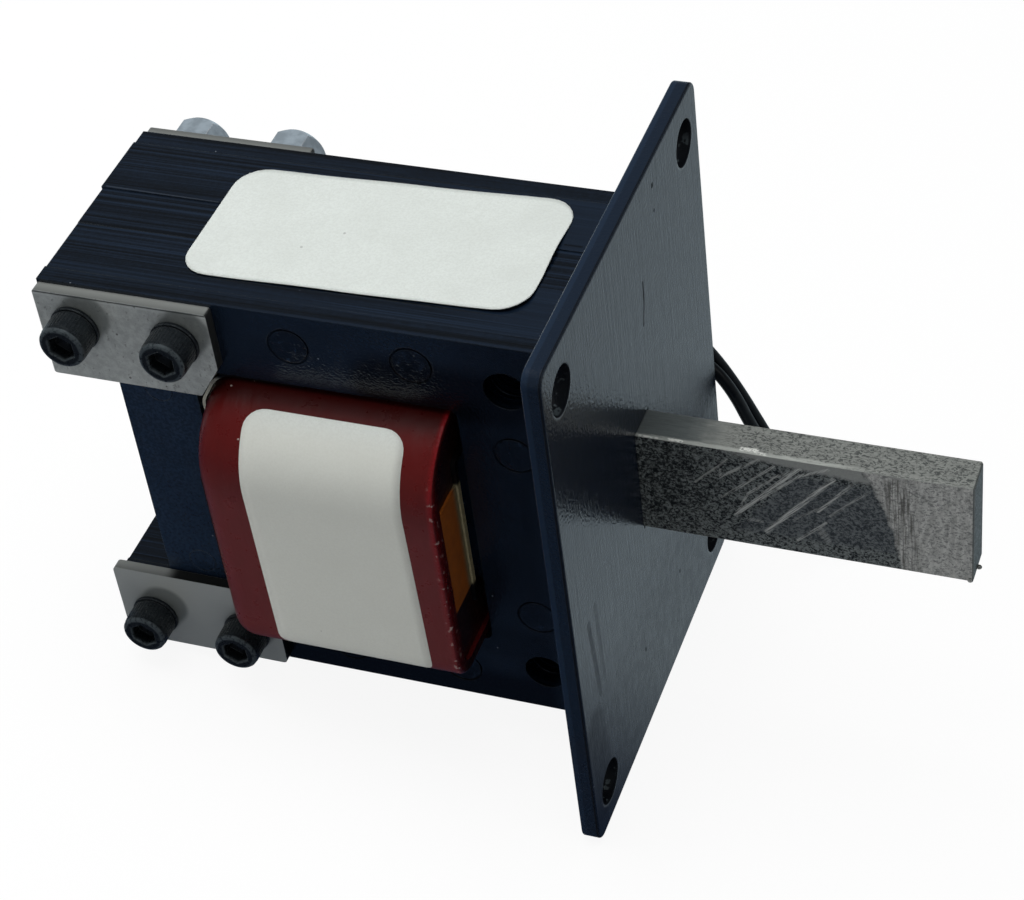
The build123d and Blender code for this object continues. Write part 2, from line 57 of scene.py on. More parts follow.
# Places and sizes of the solid model that the pieces here follow, in millimetres
STACK_TOP_Z = 39.69
SIDE_Y = 19.84
COIL_FRONT_X = -23.325
COIL_HALF_WIDTH = 31.3
COIL_TOP_Z = 24.4
COIL_BOTTOM_Z = -25.1
COIL_UPPER_CORNER = 13.5
COIL_LOWER_CORNER = 5.2
STRIP_INNER_Y = 21.0
SCREW_POINTS = [(x, z) for z in (32.545, -32.545) for x in (-84.905, -67.445)]
SCREW_HEAD_RADIUS = 3.98
SCREW_HEAD_HEIGHT = 4.83
SCREW_SHANK_RADIUS = 2.415
SCREW_LENGTH = 50.8
SOCKET_FLATS = 4.2
GUIDE_OUTER_Z = 39.1
GUIDE_INNER_Z = 21.9
GUIDE_THICKNESS = 2.0
GUIDE_OUTLINE = (
    (-91.27, GUIDE_OUTER_Z),
    (-91.27, GUIDE_INNER_Z),
    (-65.02, GUIDE_INNER_Z),
    (-61.07, 28.0),
    (-61.07, GUIDE_OUTER_Z),
)
HOLE_Y = 30.16
HOLE_Z = 42.86
HOLE_RADIUS = 3.97
FLANGE_BOTTOM_Z = -50.8
# The solenoid lies tilted: the table falls this much for each millimetre towards the bar's end
LYING_SLOPE = 0.12172

# Fine forms that the solid model leaves out
LOWER_GUIDE_INNER_Z = 22.6
UPPER_GUIDE_CORNER = 0.55
LOWER_GUIDE_CORNER = 0.9
GUIDE_HOLE_RADIUS = 2.5
GUIDE_EDGE_ROUNDING = 0.22
WASHER_HEIGHT = 0.7
KNURL_TEETH = 44
THREAD_PITCH = 0.8
THREAD_DEPTH = 0.42
THREAD_SEEN = 9.0
SCREW_FRONT_Y = -(SIDE_Y + GUIDE_THICKNESS + WASHER_HEIGHT + SCREW_HEAD_HEIGHT)
# Middle and half sizes of the two burrs that hang at the lower edge of the bar's end
BAR_BURRS = (
    ((53.45, -3.05, -9.75), (0.5, 0.42, 0.55)),
    ((54.15, 0.04, -9.8), (0.5, 0.4, 0.4)),
)

# Labels, flat: length, width and corner radius
FIELD_LABEL = (57.3, 27.4, 5.0)
COIL_LABEL = (50.1, 27.2, 3.6)
# The field's label: x of its rear end, and for each long edge its y there and how far it moves to the front
FIELD_LABEL_REAR_X = -69.84
FIELD_LABEL_NEAR_Y = (-13.54, 1.64)
FIELD_LABEL_FAR_Y = (13.79, 2.15)
FIELD_LABEL_LIFTS_FROM = 11.0
# The coil's label: x of its middle, its drift in x, and how far round the coil from the top it begins
COIL_LABEL_X = -42.12
COIL_LABEL_DRIFT = 0.96
COIL_LABEL_START = 23.83

# Control points of the two leads, as in the solid model: out of the sleeve, falling, then lying. None
# stands for the height at which the lead lies on the table
LEAD_CLEARANCE = 0.05
LEAD_ROUTES = {
    "a": (
        (-22.625, 34.5, 1.8),
        (-15.025, 34.5, 1.8),
        (-7.6, 39.0, -1.219),
        (-2.3, 41.8, -10.566),
        (2.1, 42.3, -18.593),
        (6.0, 42.6, -27.432),
        (10.5, 43.2, -37.998),
        (16.4, 44.4, -47.549),
        (25.4, 45.6, None),
        (33.0, 47.7, None),
        (36.2, 54.6, None),
        (32.9, 61.5, None),
        (25.2, 63.5, None),
        (15.8, 62.4, None),
        (6.4, 60.2, None),
        (-2.2, 56.4, None),
    ),
    "b": (
        (-22.625, 34.5, -1.8),
        (-15.825, 34.5, -1.8),
        (-9.0, 37.4, -5.588),
        (-2.4, 39.1, -10.363),
        (2.1, 39.3, -16.358),
        (5.7, 39.5, -26.213),
        (11.6, 39.9, -37.186),
        (19.4, 41.2, -46.634),
        (29.5, 43.4, None),
        (37.8, 47.4, None),
        (40.8, 55.5, None),
        (36.6, 63.2, None),
        (28.0, 66.4, None),
        (18.0, 66.2, None),
        (9.0, 64.6, None),
        (0.2, 61.4, None),
    ),
}

# Marks on flat faces: two ends, width and strength of each. Bar: x and z on its near face
BAR_SCRATCHES = (
    (9.28, 1.99, 14.88, 7.95, 0.45, 0.55),
    (13.62, 4.06, 19.95, 8.93, 0.5, 0.7),
    (13.62, 5.66, 13.62, 4.06, 0.35, 0.6),
    (13.60, -0.45, 22.49, 8.10, 0.45, 0.75),
    (15.74, -3.82, 26.18, 8.12, 0.75, 1.0),
    (15.74, -3.73, 17.97, 1.25, 0.4, 0.6),
    (17.97, 1.25, 22.05, 5.18, 0.45, 0.7),
    (19.89, 0.49, 26.62, 6.93, 0.5, 0.85),
    (26.62, 6.93, 31.15, 9.17, 0.5, 0.8),
    (20.73, -6.40, 31.89, 7.21, 0.8, 1.0),
    (20.93, -5.68, 25.70, -0.98, 0.5, 0.7),
    (29.28, -0.19, 35.54, 7.57, 0.55, 0.8),
    (31.20, -0.72, 37.72, 5.91, 0.45, 0.45),
    (25.80, -7.25, 30.51, -2.41, 0.5, 0.7),
    (25.30, -2.92, 29.63, 0.68, 0.4, 0.4),
    (22.06, 5.52, 26.67, 8.30, 0.5, 0.7),
    (29.60, -4.20, 30.60, -6.20, 1.3, 0.35),
    (17.70, -4.40, 20.00, -4.40, 0.6, 0.4),
)
# Brown streaks combed over the ground end: x and z
BAR_BRUSHED = (
    (42.0, 7.0, 43.0, -6.5, 5.0, 0.75),
    (41.0, 1.0, 43.5, -9.0, 4.0, 0.6),
)
# Run of the fine hairs in each scratch, as x and z
SCRATCH_RUN = (0.69, 0.725)
# The rubbed patch begins at a slanting line: a point of it and the direction across it, as x and z
PATCH_EDGE_POINT = (18.41, -3.14)
PATCH_EDGE_ACROSS = (0.804, -0.595)
# The ground end begins at an arc: x and z of its centre, and its radius
GROUND_ARC_CENTRE = (-2.9, -12.0)
GROUND_ARC_RADIUS = 45.1
# Bright glints on the bar's upper face: x and y
BAR_GLINTS = (
    (5.40, -2.70, 7.40, -2.75, 0.6, 0.8),
    (17.20, -2.30, 19.40, -2.20, 0.9, 0.9),
    (19.40, -2.60, 21.00, -2.75, 0.6, 0.7),
    (0.60, -2.90, 3.40, -2.95, 0.5, 0.7),
)
# Near side of the field: x and z of painted shadows above the coil, before it and along the lower edge
NEAR_SIDE_PAINTED_SHADOWS = (
    (-34.0, 28.8, -15.0, 28.5, 10.5, 0.95),
    (-14.0, 20.0, -13.0, 12.0, 7.0, 0.2),
    (-26.0, -25.0, -15.0, -26.0, 8.0, 0.45),
    (-60.0, -37.5, -12.0, -37.5, 8.0, 0.95),
)
# Flange: y and z on its front face
FLANGE_MARKS = (
    (14.20, 46.55, 14.20, 46.30, 0.7, 0.9),
    (14.10, 41.75, 14.10, 41.60, 0.5, 0.8),
    (6.35, 33.60, 6.10, 29.80, 0.42, 0.9),
    (6.10, 29.80, 5.00, 26.00, 0.4, 0.8),
    (-8.30, -33.70, -8.30, -34.20, 0.5, 0.8),
    (11.10, -34.20, 11.10, -34.70, 0.5, 0.8),
)
# Flange: y and z of soft dark bands low on its front face
FLANGE_SHADES = (
    (-30.9, -5.0, -29.4, -22.0, 1.5, 0.45),
    (-27.7, -4.0, -26.9, -21.0, 1.5, 0.3),
    (-33.5, -27.0, -32.0, -44.0, 9.0, 0.42),
)
# Top of the field: x and y of a ridge, whose light line is a painted highlight, of a dark joint and of two
# short grooves
TOP_RIDGE_HIGHLIGHT = ((-90.67, 4.59, -70.52, 4.38, 0.28, 0.6),)
TOP_GROOVES = (
    (-90.62, -5.10, -70.24, -4.78, 0.3, 0.7),
    (-11.80, 5.50, -9.10, 5.50, 0.35, 0.8),
    (-11.60, 0.30, -8.60, 0.30, 0.35, 0.8),
)

# Studio: place of the camera in metres, and the floor's colours where the enamel mirrors it
CAMERA_PLACE = (0.11487, -0.29400, 0.29349)
CAMERA_SENSOR_MM = 36
FLOOR_HALF_SIZE = 2.5
MIRRORED_NEAR = (0.024, 0.038, 0.072, 1)
MIRRORED_FAR = (0.355, 0.425, 0.465, 1)


def linear(red, green, blue):
    """A colour given as screen values from 0 to 255, as the shader wants it."""
    values = []
    for part in (red, green, blue):
        part /= 255
        values.append(part / 12.92 if part <= 0.04045 else ((part + 0.055) / 1.055) ** 2.4)
    return (*values, 1.0)


# Settings


class SolenoidFinish(bpy.types.PropertyGroup):
    """Colours and gloss of the solenoid's finishes."""

    enamel: bpy.props.FloatVectorProperty(
        name="Enamel",
        description="Colour of the enamel on field, flange and plunger",
        subtype="COLOR",
        size=4,
        min=0,
        max=1,
        default=linear(14, 23, 35),
    )
    enamel_roughness: bpy.props.FloatProperty(
        name="Enamel Roughness", description="Roughness of the enamel", default=0.16, min=0.02, max=1
    )
    peel: bpy.props.FloatProperty(
        name="Orange Peel",
        description="Height of the enamel's orange peel",
        default=0.000012,
        unit="LENGTH",
    )
    jacket: bpy.props.FloatVectorProperty(
        name="Coil Varnish",
        description="Colour of the coil's varnished jacket",
        subtype="COLOR",
        size=4,
        min=0,
        max=1,
        default=linear(96, 31, 27),
    )
    plate: bpy.props.FloatVectorProperty(
        name="Guide Plate",
        description="Colour of the plated guide plates",
        subtype="COLOR",
        size=4,
        min=0,
        max=1,
        default=linear(226, 230, 225),
    )
    label: bpy.props.FloatVectorProperty(
        name="Label",
        description="Colour of the label stock",
        subtype="COLOR",
        size=4,
        min=0,
        max=1,
        default=linear(239, 245, 240),
    )
    bar: bpy.props.FloatVectorProperty(
        name="Push Bar",
        description="Colour of the bare steel of the push bar",
        subtype="COLOR",
        size=4,
        min=0,
        max=1,
        default=linear(222, 222, 217),
    )


class SolenoidSizes(bpy.types.PropertyGroup):
    """Sizes of the fine pieces that are not in the solid model."""

    lead_diameter: bpy.props.FloatProperty(
        name="Lead Diameter", description="Diameter of each lead", default=0.0022, unit="LENGTH"
    )
    label_thickness: bpy.props.FloatProperty(
        name="Label Thickness", description="Thickness of the labels", default=0.00012, unit="LENGTH"
    )
    label_lift: bpy.props.FloatProperty(
        name="Label Lift",
        description="How far the end of the field's label stands up in waves",
        default=0.0005,
        unit="LENGTH",
    )
    knurl_depth: bpy.props.FloatProperty(
        name="Knurl Depth",
        description="Depth of the knurl on the screw heads",
        default=0.00005,
        unit="LENGTH",
    )


class SolenoidStage(bpy.types.PropertyGroup):
    """Floor, lamps and camera."""

    lens: bpy.props.FloatProperty(
        name="Lens", description="Focal length on a 36 mm wide sensor", default=93.94, unit="CAMERA"
    )
    azimuth: bpy.props.FloatProperty(
        name="Azimuth",
        description="Camera direction about Z",
        default=math.radians(25.1508),
        subtype="ANGLE",
    )
    elevation: bpy.props.FloatProperty(
        name="Elevation",
        description="Camera direction above XY",
        default=math.radians(42.1771),
        subtype="ANGLE",
    )
    roll: bpy.props.FloatProperty(
        name="Roll",
        description="Turn of the camera about its view",
        default=math.radians(-8.2469),
        subtype="ANGLE",
    )
    lamp_power: bpy.props.FloatProperty(
        name="Lamp Power", description="Power of the overhead softbox", default=4.2, unit="POWER"
    )


# Node helpers


def add_node(tree, kind, inputs=None, **settings):
    """One node, with its settings, and its inputs set to values or linked to sockets."""
    made = tree.nodes.new(kind)
    for name, value in settings.items():
        setattr(made, name, value)
    for name, value in (inputs or {}).items():
        if isinstance(value, bpy.types.NodeSocket):
            tree.links.new(value, made.inputs[name])
        else:
            made.inputs[name].default_value = value
    return made


def calculate(tree, operation, *values, clamp=False):
    """A Math node on sockets or numbers, and its answer."""
    made = tree.nodes.new("ShaderNodeMath")
    made.operation = operation
    made.use_clamp = clamp
    for place, value in enumerate(values):
        if isinstance(value, bpy.types.NodeSocket):
            tree.links.new(value, made.inputs[place])
        else:
            made.inputs[place].default_value = value
    return made.outputs[0]


def spread(tree, value, low, high, to_low=0.0, to_high=1.0, smooth=True):
    """The value, moved from one range to another and held inside it."""
    made = tree.nodes.new("ShaderNodeMapRange")
    made.interpolation_type = "SMOOTHSTEP" if smooth else "LINEAR"
    tree.links.new(value, made.inputs["Value"])
    for name, number in (("From Min", low), ("From Max", high), ("To Min", to_low), ("To Max", to_high)):
        made.inputs[name].default_value = number
    return made.outputs["Result"]


def blend(tree, share, first, second):
    """Two colours mixed by a share."""
    made = tree.nodes.new("ShaderNodeMix")
    made.data_type = "RGBA"
    for name, value in (("Factor", share), ("A", first), ("B", second)):
        socket = next(s for s in made.inputs if s.name == name and s.enabled)
        if isinstance(value, bpy.types.NodeSocket):
            tree.links.new(value, socket)
        else:
            socket.default_value = value
    return next(s for s in made.outputs if s.enabled)


def times(tree, *values):
    """The product of several values."""
    total = values[0]
    for value in values[1:]:
        total = calculate(tree, "MULTIPLY", total, value)
    return total


def largest(tree, *values):
    """The largest of several values."""
    total = values[0]
    for value in values[1:]:
        total = calculate(tree, "MAXIMUM", total, value)
    return total


def unsigned(tree, value):
    """The value without its sign."""
    return calculate(tree, "ABSOLUTE", value)


def vector_outputs(tree, operation, first, second):
    """The outputs of a Vector Math node on two vectors."""
    return add_node(tree, "ShaderNodeVectorMath", {0: first, 1: second}, operation=operation).outputs


def length_of(tree, vector):
    """The length of a vector."""
    return add_node(tree, "ShaderNodeVectorMath", {0: vector}, operation="LENGTH").outputs["Value"]


def mix_shaders(tree, share, first, second):
    """Two shader nodes mixed by a share, as a node."""
    return add_node(tree, "ShaderNodeMixShader", {0: share, 1: first.outputs[0], 2: second.outputs[0]})


def new_group(name, inputs, outputs):
    """An empty shader group with its sockets, and its input and output nodes."""
    tree = bpy.data.node_groups.new(name, "ShaderNodeTree")
    for label, kind, default in inputs:
        socket = tree.interface.new_socket(label, in_out="INPUT", socket_type=kind)
        if default is not None:
            socket.default_value = default
    for label, kind in outputs:
        tree.interface.new_socket(label, in_out="OUTPUT", socket_type=kind)
    return tree, tree.nodes.new("NodeGroupInput"), tree.nodes.new("NodeGroupOutput")


def stretched(tree, vector, scale):
    """The vector times a scale for each axis."""
    return vector_outputs(tree, "MULTIPLY", vector, scale)[0]


def noise(tree, vector, scale=1.0, detail=2.0, roughness=0.5):
    """A noise value of about 0 to 1."""
    inputs = {"Vector": vector, "Scale": scale, "Detail": detail, "Roughness": roughness}
    return add_node(tree, "ShaderNodeTexNoise", inputs).outputs["Fac"]


def object_place(tree):
    """Place on the object in millimetres."""
    coordinates = tree.nodes.new("ShaderNodeTexCoord")
    return stretched(tree, coordinates.outputs["Object"], (1 / MM, 1 / MM, 1 / MM))


def make_place_group():
    """Place on the object in millimetres, in the frame that the solid model has."""
    tree, _, out = new_group("Place in mm", [], [("Place", "NodeSocketVector")])
    tree.links.new(object_place(tree), out.inputs["Place"])


def make_peel_group():
    """Orange peel of sprayed enamel, with a few dust grains under it."""
    inputs = [
        ("Place", "NodeSocketVector", None),
        ("Grain", "NodeSocketFloat", 1.1),
        ("Dust", "NodeSocketFloat", 0.5),
    ]
    tree, given, out = new_group("Orange Peel", inputs, [("Height", "NodeSocketFloat")])
    place = given.outputs["Place"]
    per_mm = calculate(tree, "DIVIDE", 1.0, given.outputs["Grain"])
    waves = noise(tree, place, per_mm, 1.5, 0.45)
    fine = noise(tree, place, 3.1, 1.0)
    cells = add_node(tree, "ShaderNodeTexVoronoi", {"Vector": place, "Scale": 0.42})
    grains = spread(tree, cells.outputs["Distance"], 0.05, 0.13, 1.0, 0.0)
    height = calculate(tree, "MULTIPLY_ADD", fine, 0.25, waves)
    dusty = calculate(tree, "MULTIPLY", grains, given.outputs["Dust"])
    tree.links.new(calculate(tree, "ADD", height, dusty), out.inputs["Height"])


def make_edge_wear_and_highlight_group():
    """Mask and softened normal along sharp edges, broken up by noise: for worn edges and for painted edge
    highlights.
    """
    inputs = [
        ("Place", "NodeSocketVector", None),
        ("Width", "NodeSocketFloat", 0.0003),
        ("Breakup", "NodeSocketFloat", 0.5),
        ("Amount", "NodeSocketFloat", 1.0),
    ]
    outputs = [("Mask", "NodeSocketFloat"), ("Normal", "NodeSocketVector")]
    tree, given, out = new_group("Edge Wear and Highlights", inputs, outputs)
    rounded = add_node(tree, "ShaderNodeBevel", {"Radius": given.outputs["Width"]}, samples=4).outputs[0]
    flat = tree.nodes.new("ShaderNodeNewGeometry").outputs["Normal"]
    edge = spread(tree, vector_outputs(tree, "DOT_PRODUCT", rounded, flat)["Value"], 0.995, 0.86)
    patches = spread(tree, noise(tree, given.outputs["Place"], 0.9, 3.0, 0.7), 0.35, 0.65)
    whole = times(tree, given.outputs["Breakup"], calculate(tree, "SUBTRACT", 1.0, patches))
    worn = times(tree, edge, calculate(tree, "SUBTRACT", 1.0, whole))
    mask = calculate(tree, "MULTIPLY", worn, given.outputs["Amount"], clamp=True)
    tree.links.new(mask, out.inputs["Mask"])
    tree.links.new(rounded, out.inputs["Normal"])


def make_streak_group():
    """Long fine streaks: sheet edges, rolled or brushed grain, as fine on each axis as Stretch says."""
    inputs = [("Place", "NodeSocketVector", None), ("Stretch", "NodeSocketVector", (0.02, 2.0, 0.02))]
    outputs = [("Fine", "NodeSocketFloat"), ("Broad", "NodeSocketFloat")]
    tree, given, out = new_group("Streaks", inputs, outputs)
    drawn = stretched(tree, given.outputs["Place"], given.outputs["Stretch"])
    tree.links.new(noise(tree, drawn, 1.0, 4.0, 0.65), out.inputs["Fine"])
    tree.links.new(noise(tree, drawn, 0.31, 2.0), out.inputs["Broad"])


def make_speck_group():
    """Scattered small specks, such as dust or pits."""
    inputs = [
        ("Place", "NodeSocketVector", None),
        ("Per mm", "NodeSocketFloat", 0.5),
        ("Size", "NodeSocketFloat", 0.12),
        ("Share", "NodeSocketFloat", 0.4),
    ]
    tree, given, out = new_group("Specks", inputs, [("Mask", "NodeSocketFloat")])
    cells = add_node(
        tree, "ShaderNodeTexVoronoi", {"Vector": given.outputs["Place"], "Scale": given.outputs["Per mm"]}
    )
    near = calculate(tree, "LESS_THAN", cells.outputs["Distance"], given.outputs["Size"])
    parts = add_node(tree, "ShaderNodeSeparateColor", {"Color": cells.outputs["Color"]})
    chosen = calculate(tree, "LESS_THAN", parts.outputs[0], given.outputs["Share"])
    tree.links.new(times(tree, near, chosen), out.inputs["Mask"])


def make_stroke_group():
    """Soft mask of a straight mark between two points of a flat face."""
    inputs = [
        ("Place", "NodeSocketVector", None),
        ("From", "NodeSocketVector", (0.0, 0.0, 0.0)),
        ("To", "NodeSocketVector", (1.0, 0.0, 0.0)),
        ("Width", "NodeSocketFloat", 0.4),
        ("Strength", "NodeSocketFloat", 1.0),
    ]
    tree, given, out = new_group("Stroke", inputs, [("Mask", "NodeSocketFloat")])
    start = vector_outputs(tree, "SUBTRACT", given.outputs["Place"], given.outputs["From"])[0]
    run = vector_outputs(tree, "SUBTRACT", given.outputs["To"], given.outputs["From"])[0]
    covered = vector_outputs(tree, "DOT_PRODUCT", start, run)["Value"]
    whole = vector_outputs(tree, "DOT_PRODUCT", run, run)["Value"]
    share = calculate(tree, "DIVIDE", covered, whole, clamp=True)
    nearest = add_node(tree, "ShaderNodeVectorMath", {0: run, "Scale": share}, operation="SCALE")
    away = vector_outputs(tree, "DISTANCE", start, nearest.outputs[0])["Value"]
    gap = calculate(tree, "DIVIDE", away, given.outputs["Width"])
    mask = times(tree, spread(tree, gap, 0.3, 0.7, 1.0, 0.0), given.outputs["Strength"])
    tree.links.new(mask, out.inputs["Mask"])


def make_groups():
    """All shared effects, once."""
    make_place_group()
    make_peel_group()
    make_edge_wear_and_highlight_group()
    make_streak_group()
    make_speck_group()
    make_stroke_group()


def use_group(tree, name, **inputs):
    """A shared effect placed in a material, with its own values."""
    made = tree.nodes.new("ShaderNodeGroup")
    made.node_tree = bpy.data.node_groups[name]
    for key, value in inputs.items():
        key = key.replace("_", " ")
        if isinstance(value, bpy.types.NodeSocket):
            tree.links.new(value, made.inputs[key])
        else:
            made.inputs[key].default_value = value
    return made.outputs


def new_material(name):
    """A material with its surface shader, and the place on the object in millimetres."""
    material = bpy.data.materials.new(name)
    material.use_nodes = True
    tree = material.node_tree
    tree.nodes.clear()
    shader = tree.nodes.new("ShaderNodeBsdfPrincipled")
    output = tree.nodes.new("ShaderNodeOutputMaterial")
    tree.links.new(shader.outputs[0], output.inputs["Surface"])
    place = use_group(tree, "Place in mm")["Place"]
    return material, tree, shader, place


def apart(tree, place):
    """The X, Y and Z of a place."""
    made = add_node(tree, "ShaderNodeSeparateXYZ", {"Vector": place})
    return made.outputs[0], made.outputs[1], made.outputs[2]


def together(tree, first, second, third=0.0):
    """A vector from three values."""
    return add_node(tree, "ShaderNodeCombineXYZ", {0: first, 1: second, 2: third}).outputs[0]


def stroke_mask(tree, flat, strokes):
    """One mask from a list of marks on a flat face."""
    total = None
    for u0, v0, u1, v1, width, strength in strokes:
        mask = use_group(
            tree, "Stroke", Place=flat, From=(u0, v0, 0), To=(u1, v1, 0), Width=width, Strength=strength
        )["Mask"]
        total = mask if total is None else calculate(tree, "MAXIMUM", total, mask)
    return total


def shade_of(colour, factor):
    """The colour times a factor."""
    return [min(1.0, part * factor) for part in colour[:3]] + [1]


def facing(tree):
    """The X, Y and Z of the surface's direction."""
    return apart(tree, tree.nodes.new("ShaderNodeNewGeometry").outputs["Normal"])


def bump(tree, height, distance, strength=1.0, normal=None):
    """A bump normal from a height that is 1 at a distance in metres."""
    inputs = {"Height": height, "Distance": distance, "Strength": strength}
    if normal is not None:
        inputs["Normal"] = normal
    return add_node(tree, "ShaderNodeBump", inputs).outputs["Normal"]


def set_shader(tree, shader, **values):
    """Values or links on the surface shader's sockets."""
    for key, value in values.items():
        key = key.replace("_", " ")
        if isinstance(value, bpy.types.NodeSocket):
            tree.links.new(value, shader.inputs[key])
        else:
            shader.inputs[key].default_value = value


def dress(names, material):
    """Gives solid model nodes a material."""
    for name in names:
        mesh = nodes[name].data
        mesh.materials.clear()
        mesh.materials.append(material)


def mesh_object(name, builder, material, body="frame"):
    """A new object from a finished bmesh, riding on a body."""
    mesh = bpy.data.meshes.new(name)
    builder.to_mesh(mesh)
    builder.free()
    mesh.materials.append(material)
    made = bpy.data.objects.new(name, mesh)
    bpy.context.scene.collection.objects.link(made)
    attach(made, body)
    return made


# Materials


def field_top_marks(tree, place, base, colour):
    """Top of the field: greyer near the flange and the near edge, a painted highlight along a ridge, a
    joint and short grooves.
    """
    x, y, z = apart(tree, place)
    flat = together(tree, x, y)
    top = spread(tree, z, STACK_TOP_Z - 0.2, STACK_TOP_Z - 0.1)
    greyer = largest(tree, spread(tree, x, -30.0, -8.0), spread(tree, y, -13.0, -18.0, 0.0, 0.7))
    colour = blend(tree, times(tree, greyer, top, 0.75), colour, shade_of(base, 2.0))
    # Painted highlight: a light line along the ridge, where the raised sheet edge catches the light
    colour = blend(tree, times(tree, stroke_mask(tree, flat, TOP_RIDGE_HIGHLIGHT), top), colour, linear(62, 70, 82))
    return blend(tree, times(tree, stroke_mask(tree, flat, TOP_GROOVES), top), colour, shade_of(base, 0.15))


def near_side_marks(tree, place, base, colour):
    """Near side of the field: painted shadow about the coil and along the lower edge, and a painted
    reflection that lightens it beside the flange.
    """
    x, y, z = apart(tree, place)
    outside = spread(tree, y, 0.84 - SIDE_Y, 0.34 - SIDE_Y)
    # Painted shadow: darker about the coil and along the lower edge
    painted_shadow = times(tree, stroke_mask(tree, together(tree, x, z), NEAR_SIDE_PAINTED_SHADOWS), outside)
    colour = blend(tree, painted_shadow, colour, shade_of(base, 0.2))
    # Painted reflection: lighter beside the flange
    beside = times(tree, spread(tree, x, -13.5, -10.5), spread(tree, z, 14.0, 8.0), 0.5)
    return blend(tree, beside, colour, shade_of(base, 2.2))


def flange_marks(tree, place, base, colour, rough):
    """Flange: bluish face, lighter narrow faces with a painted dark line at their front, duller hole walls
    with painted shade and a few painted glints, painted highlights on the hole lips, dent marks and soft
    rougher bands.
    """
    x, y, z = apart(tree, place)
    flat = together(tree, y, z)
    front = facing(tree)[0]
    face = spread(tree, front, 0.8, 0.95)
    narrow = spread(tree, front, 0.7, 0.3)
    # Painted reflection: a dark line along the front edge of the narrow faces, where the rounded edge
    # mirrors dark surroundings
    painted_dark_edge = times(tree, spread(tree, x, -0.55, -0.3), narrow, 0.8)
    dent_marks_and_dark_edge = largest(tree, times(tree, stroke_mask(tree, flat, FLANGE_MARKS), face), painted_dark_edge)
    colour = blend(tree, times(tree, face, 0.8), colour, linear(2, 14, 36))
    colour = blend(tree, times(tree, narrow, 0.85), colour, shade_of(base, 2.1))
    rear_band = times(tree, narrow, spread(tree, x, -1.9, -2.3), 0.7)
    colour = blend(tree, rear_band, colour, shade_of(base, 3.4))
    # Walls of the four holes: painted shade, with a few painted glints in their lower halves, and a painted
    # highlight on the lower part of each lip
    level = times(tree, calculate(tree, "SIGN", z), HOLE_Z)
    above = calculate(tree, "SUBTRACT", z, level)
    beside = calculate(tree, "SUBTRACT", unsigned(tree, y), HOLE_Y)
    from_hole = length_of(tree, together(tree, beside, above))
    bore = spread(tree, from_hole, HOLE_RADIUS + 0.15, HOLE_RADIUS + 0.02)
    wall = times(tree, bore, spread(tree, x, -0.1, -0.3))
    low = spread(tree, above, 0.5, -2.5)
    runs = spread(tree, noise(tree, place, 0.7, 2.0, 0.6), 0.58, 0.64)
    colour = blend(tree, wall, colour, shade_of(base, 0.3))
    colour = blend(tree, times(tree, wall, low, runs, 0.6), colour, linear(84, 94, 98))
    lip = times(
        tree,
        spread(tree, from_hole, HOLE_RADIUS + 0.55, HOLE_RADIUS + 0.25),
        spread(tree, from_hole, HOLE_RADIUS + 0.02, HOLE_RADIUS + 0.1),
        low,
        face,
        0.4,
    )
    colour = blend(tree, lip, colour, linear(130, 140, 144))
    # Dent marks, and the painted dark line along the front edge
    colour = blend(tree, dent_marks_and_dark_edge, colour, shade_of(base, 0.25))
    dull = largest(
        tree,
        stroke_mask(tree, flat, FLANGE_SHADES),
        times(tree, wall, 0.7),
        spread(tree, z, -8.0, -34.0, 0.0, 0.2),
        times(tree, dent_marks_and_dark_edge, 1.6),
    )
    return colour, calculate(tree, "MULTIPLY_ADD", dull, 0.5, rough)


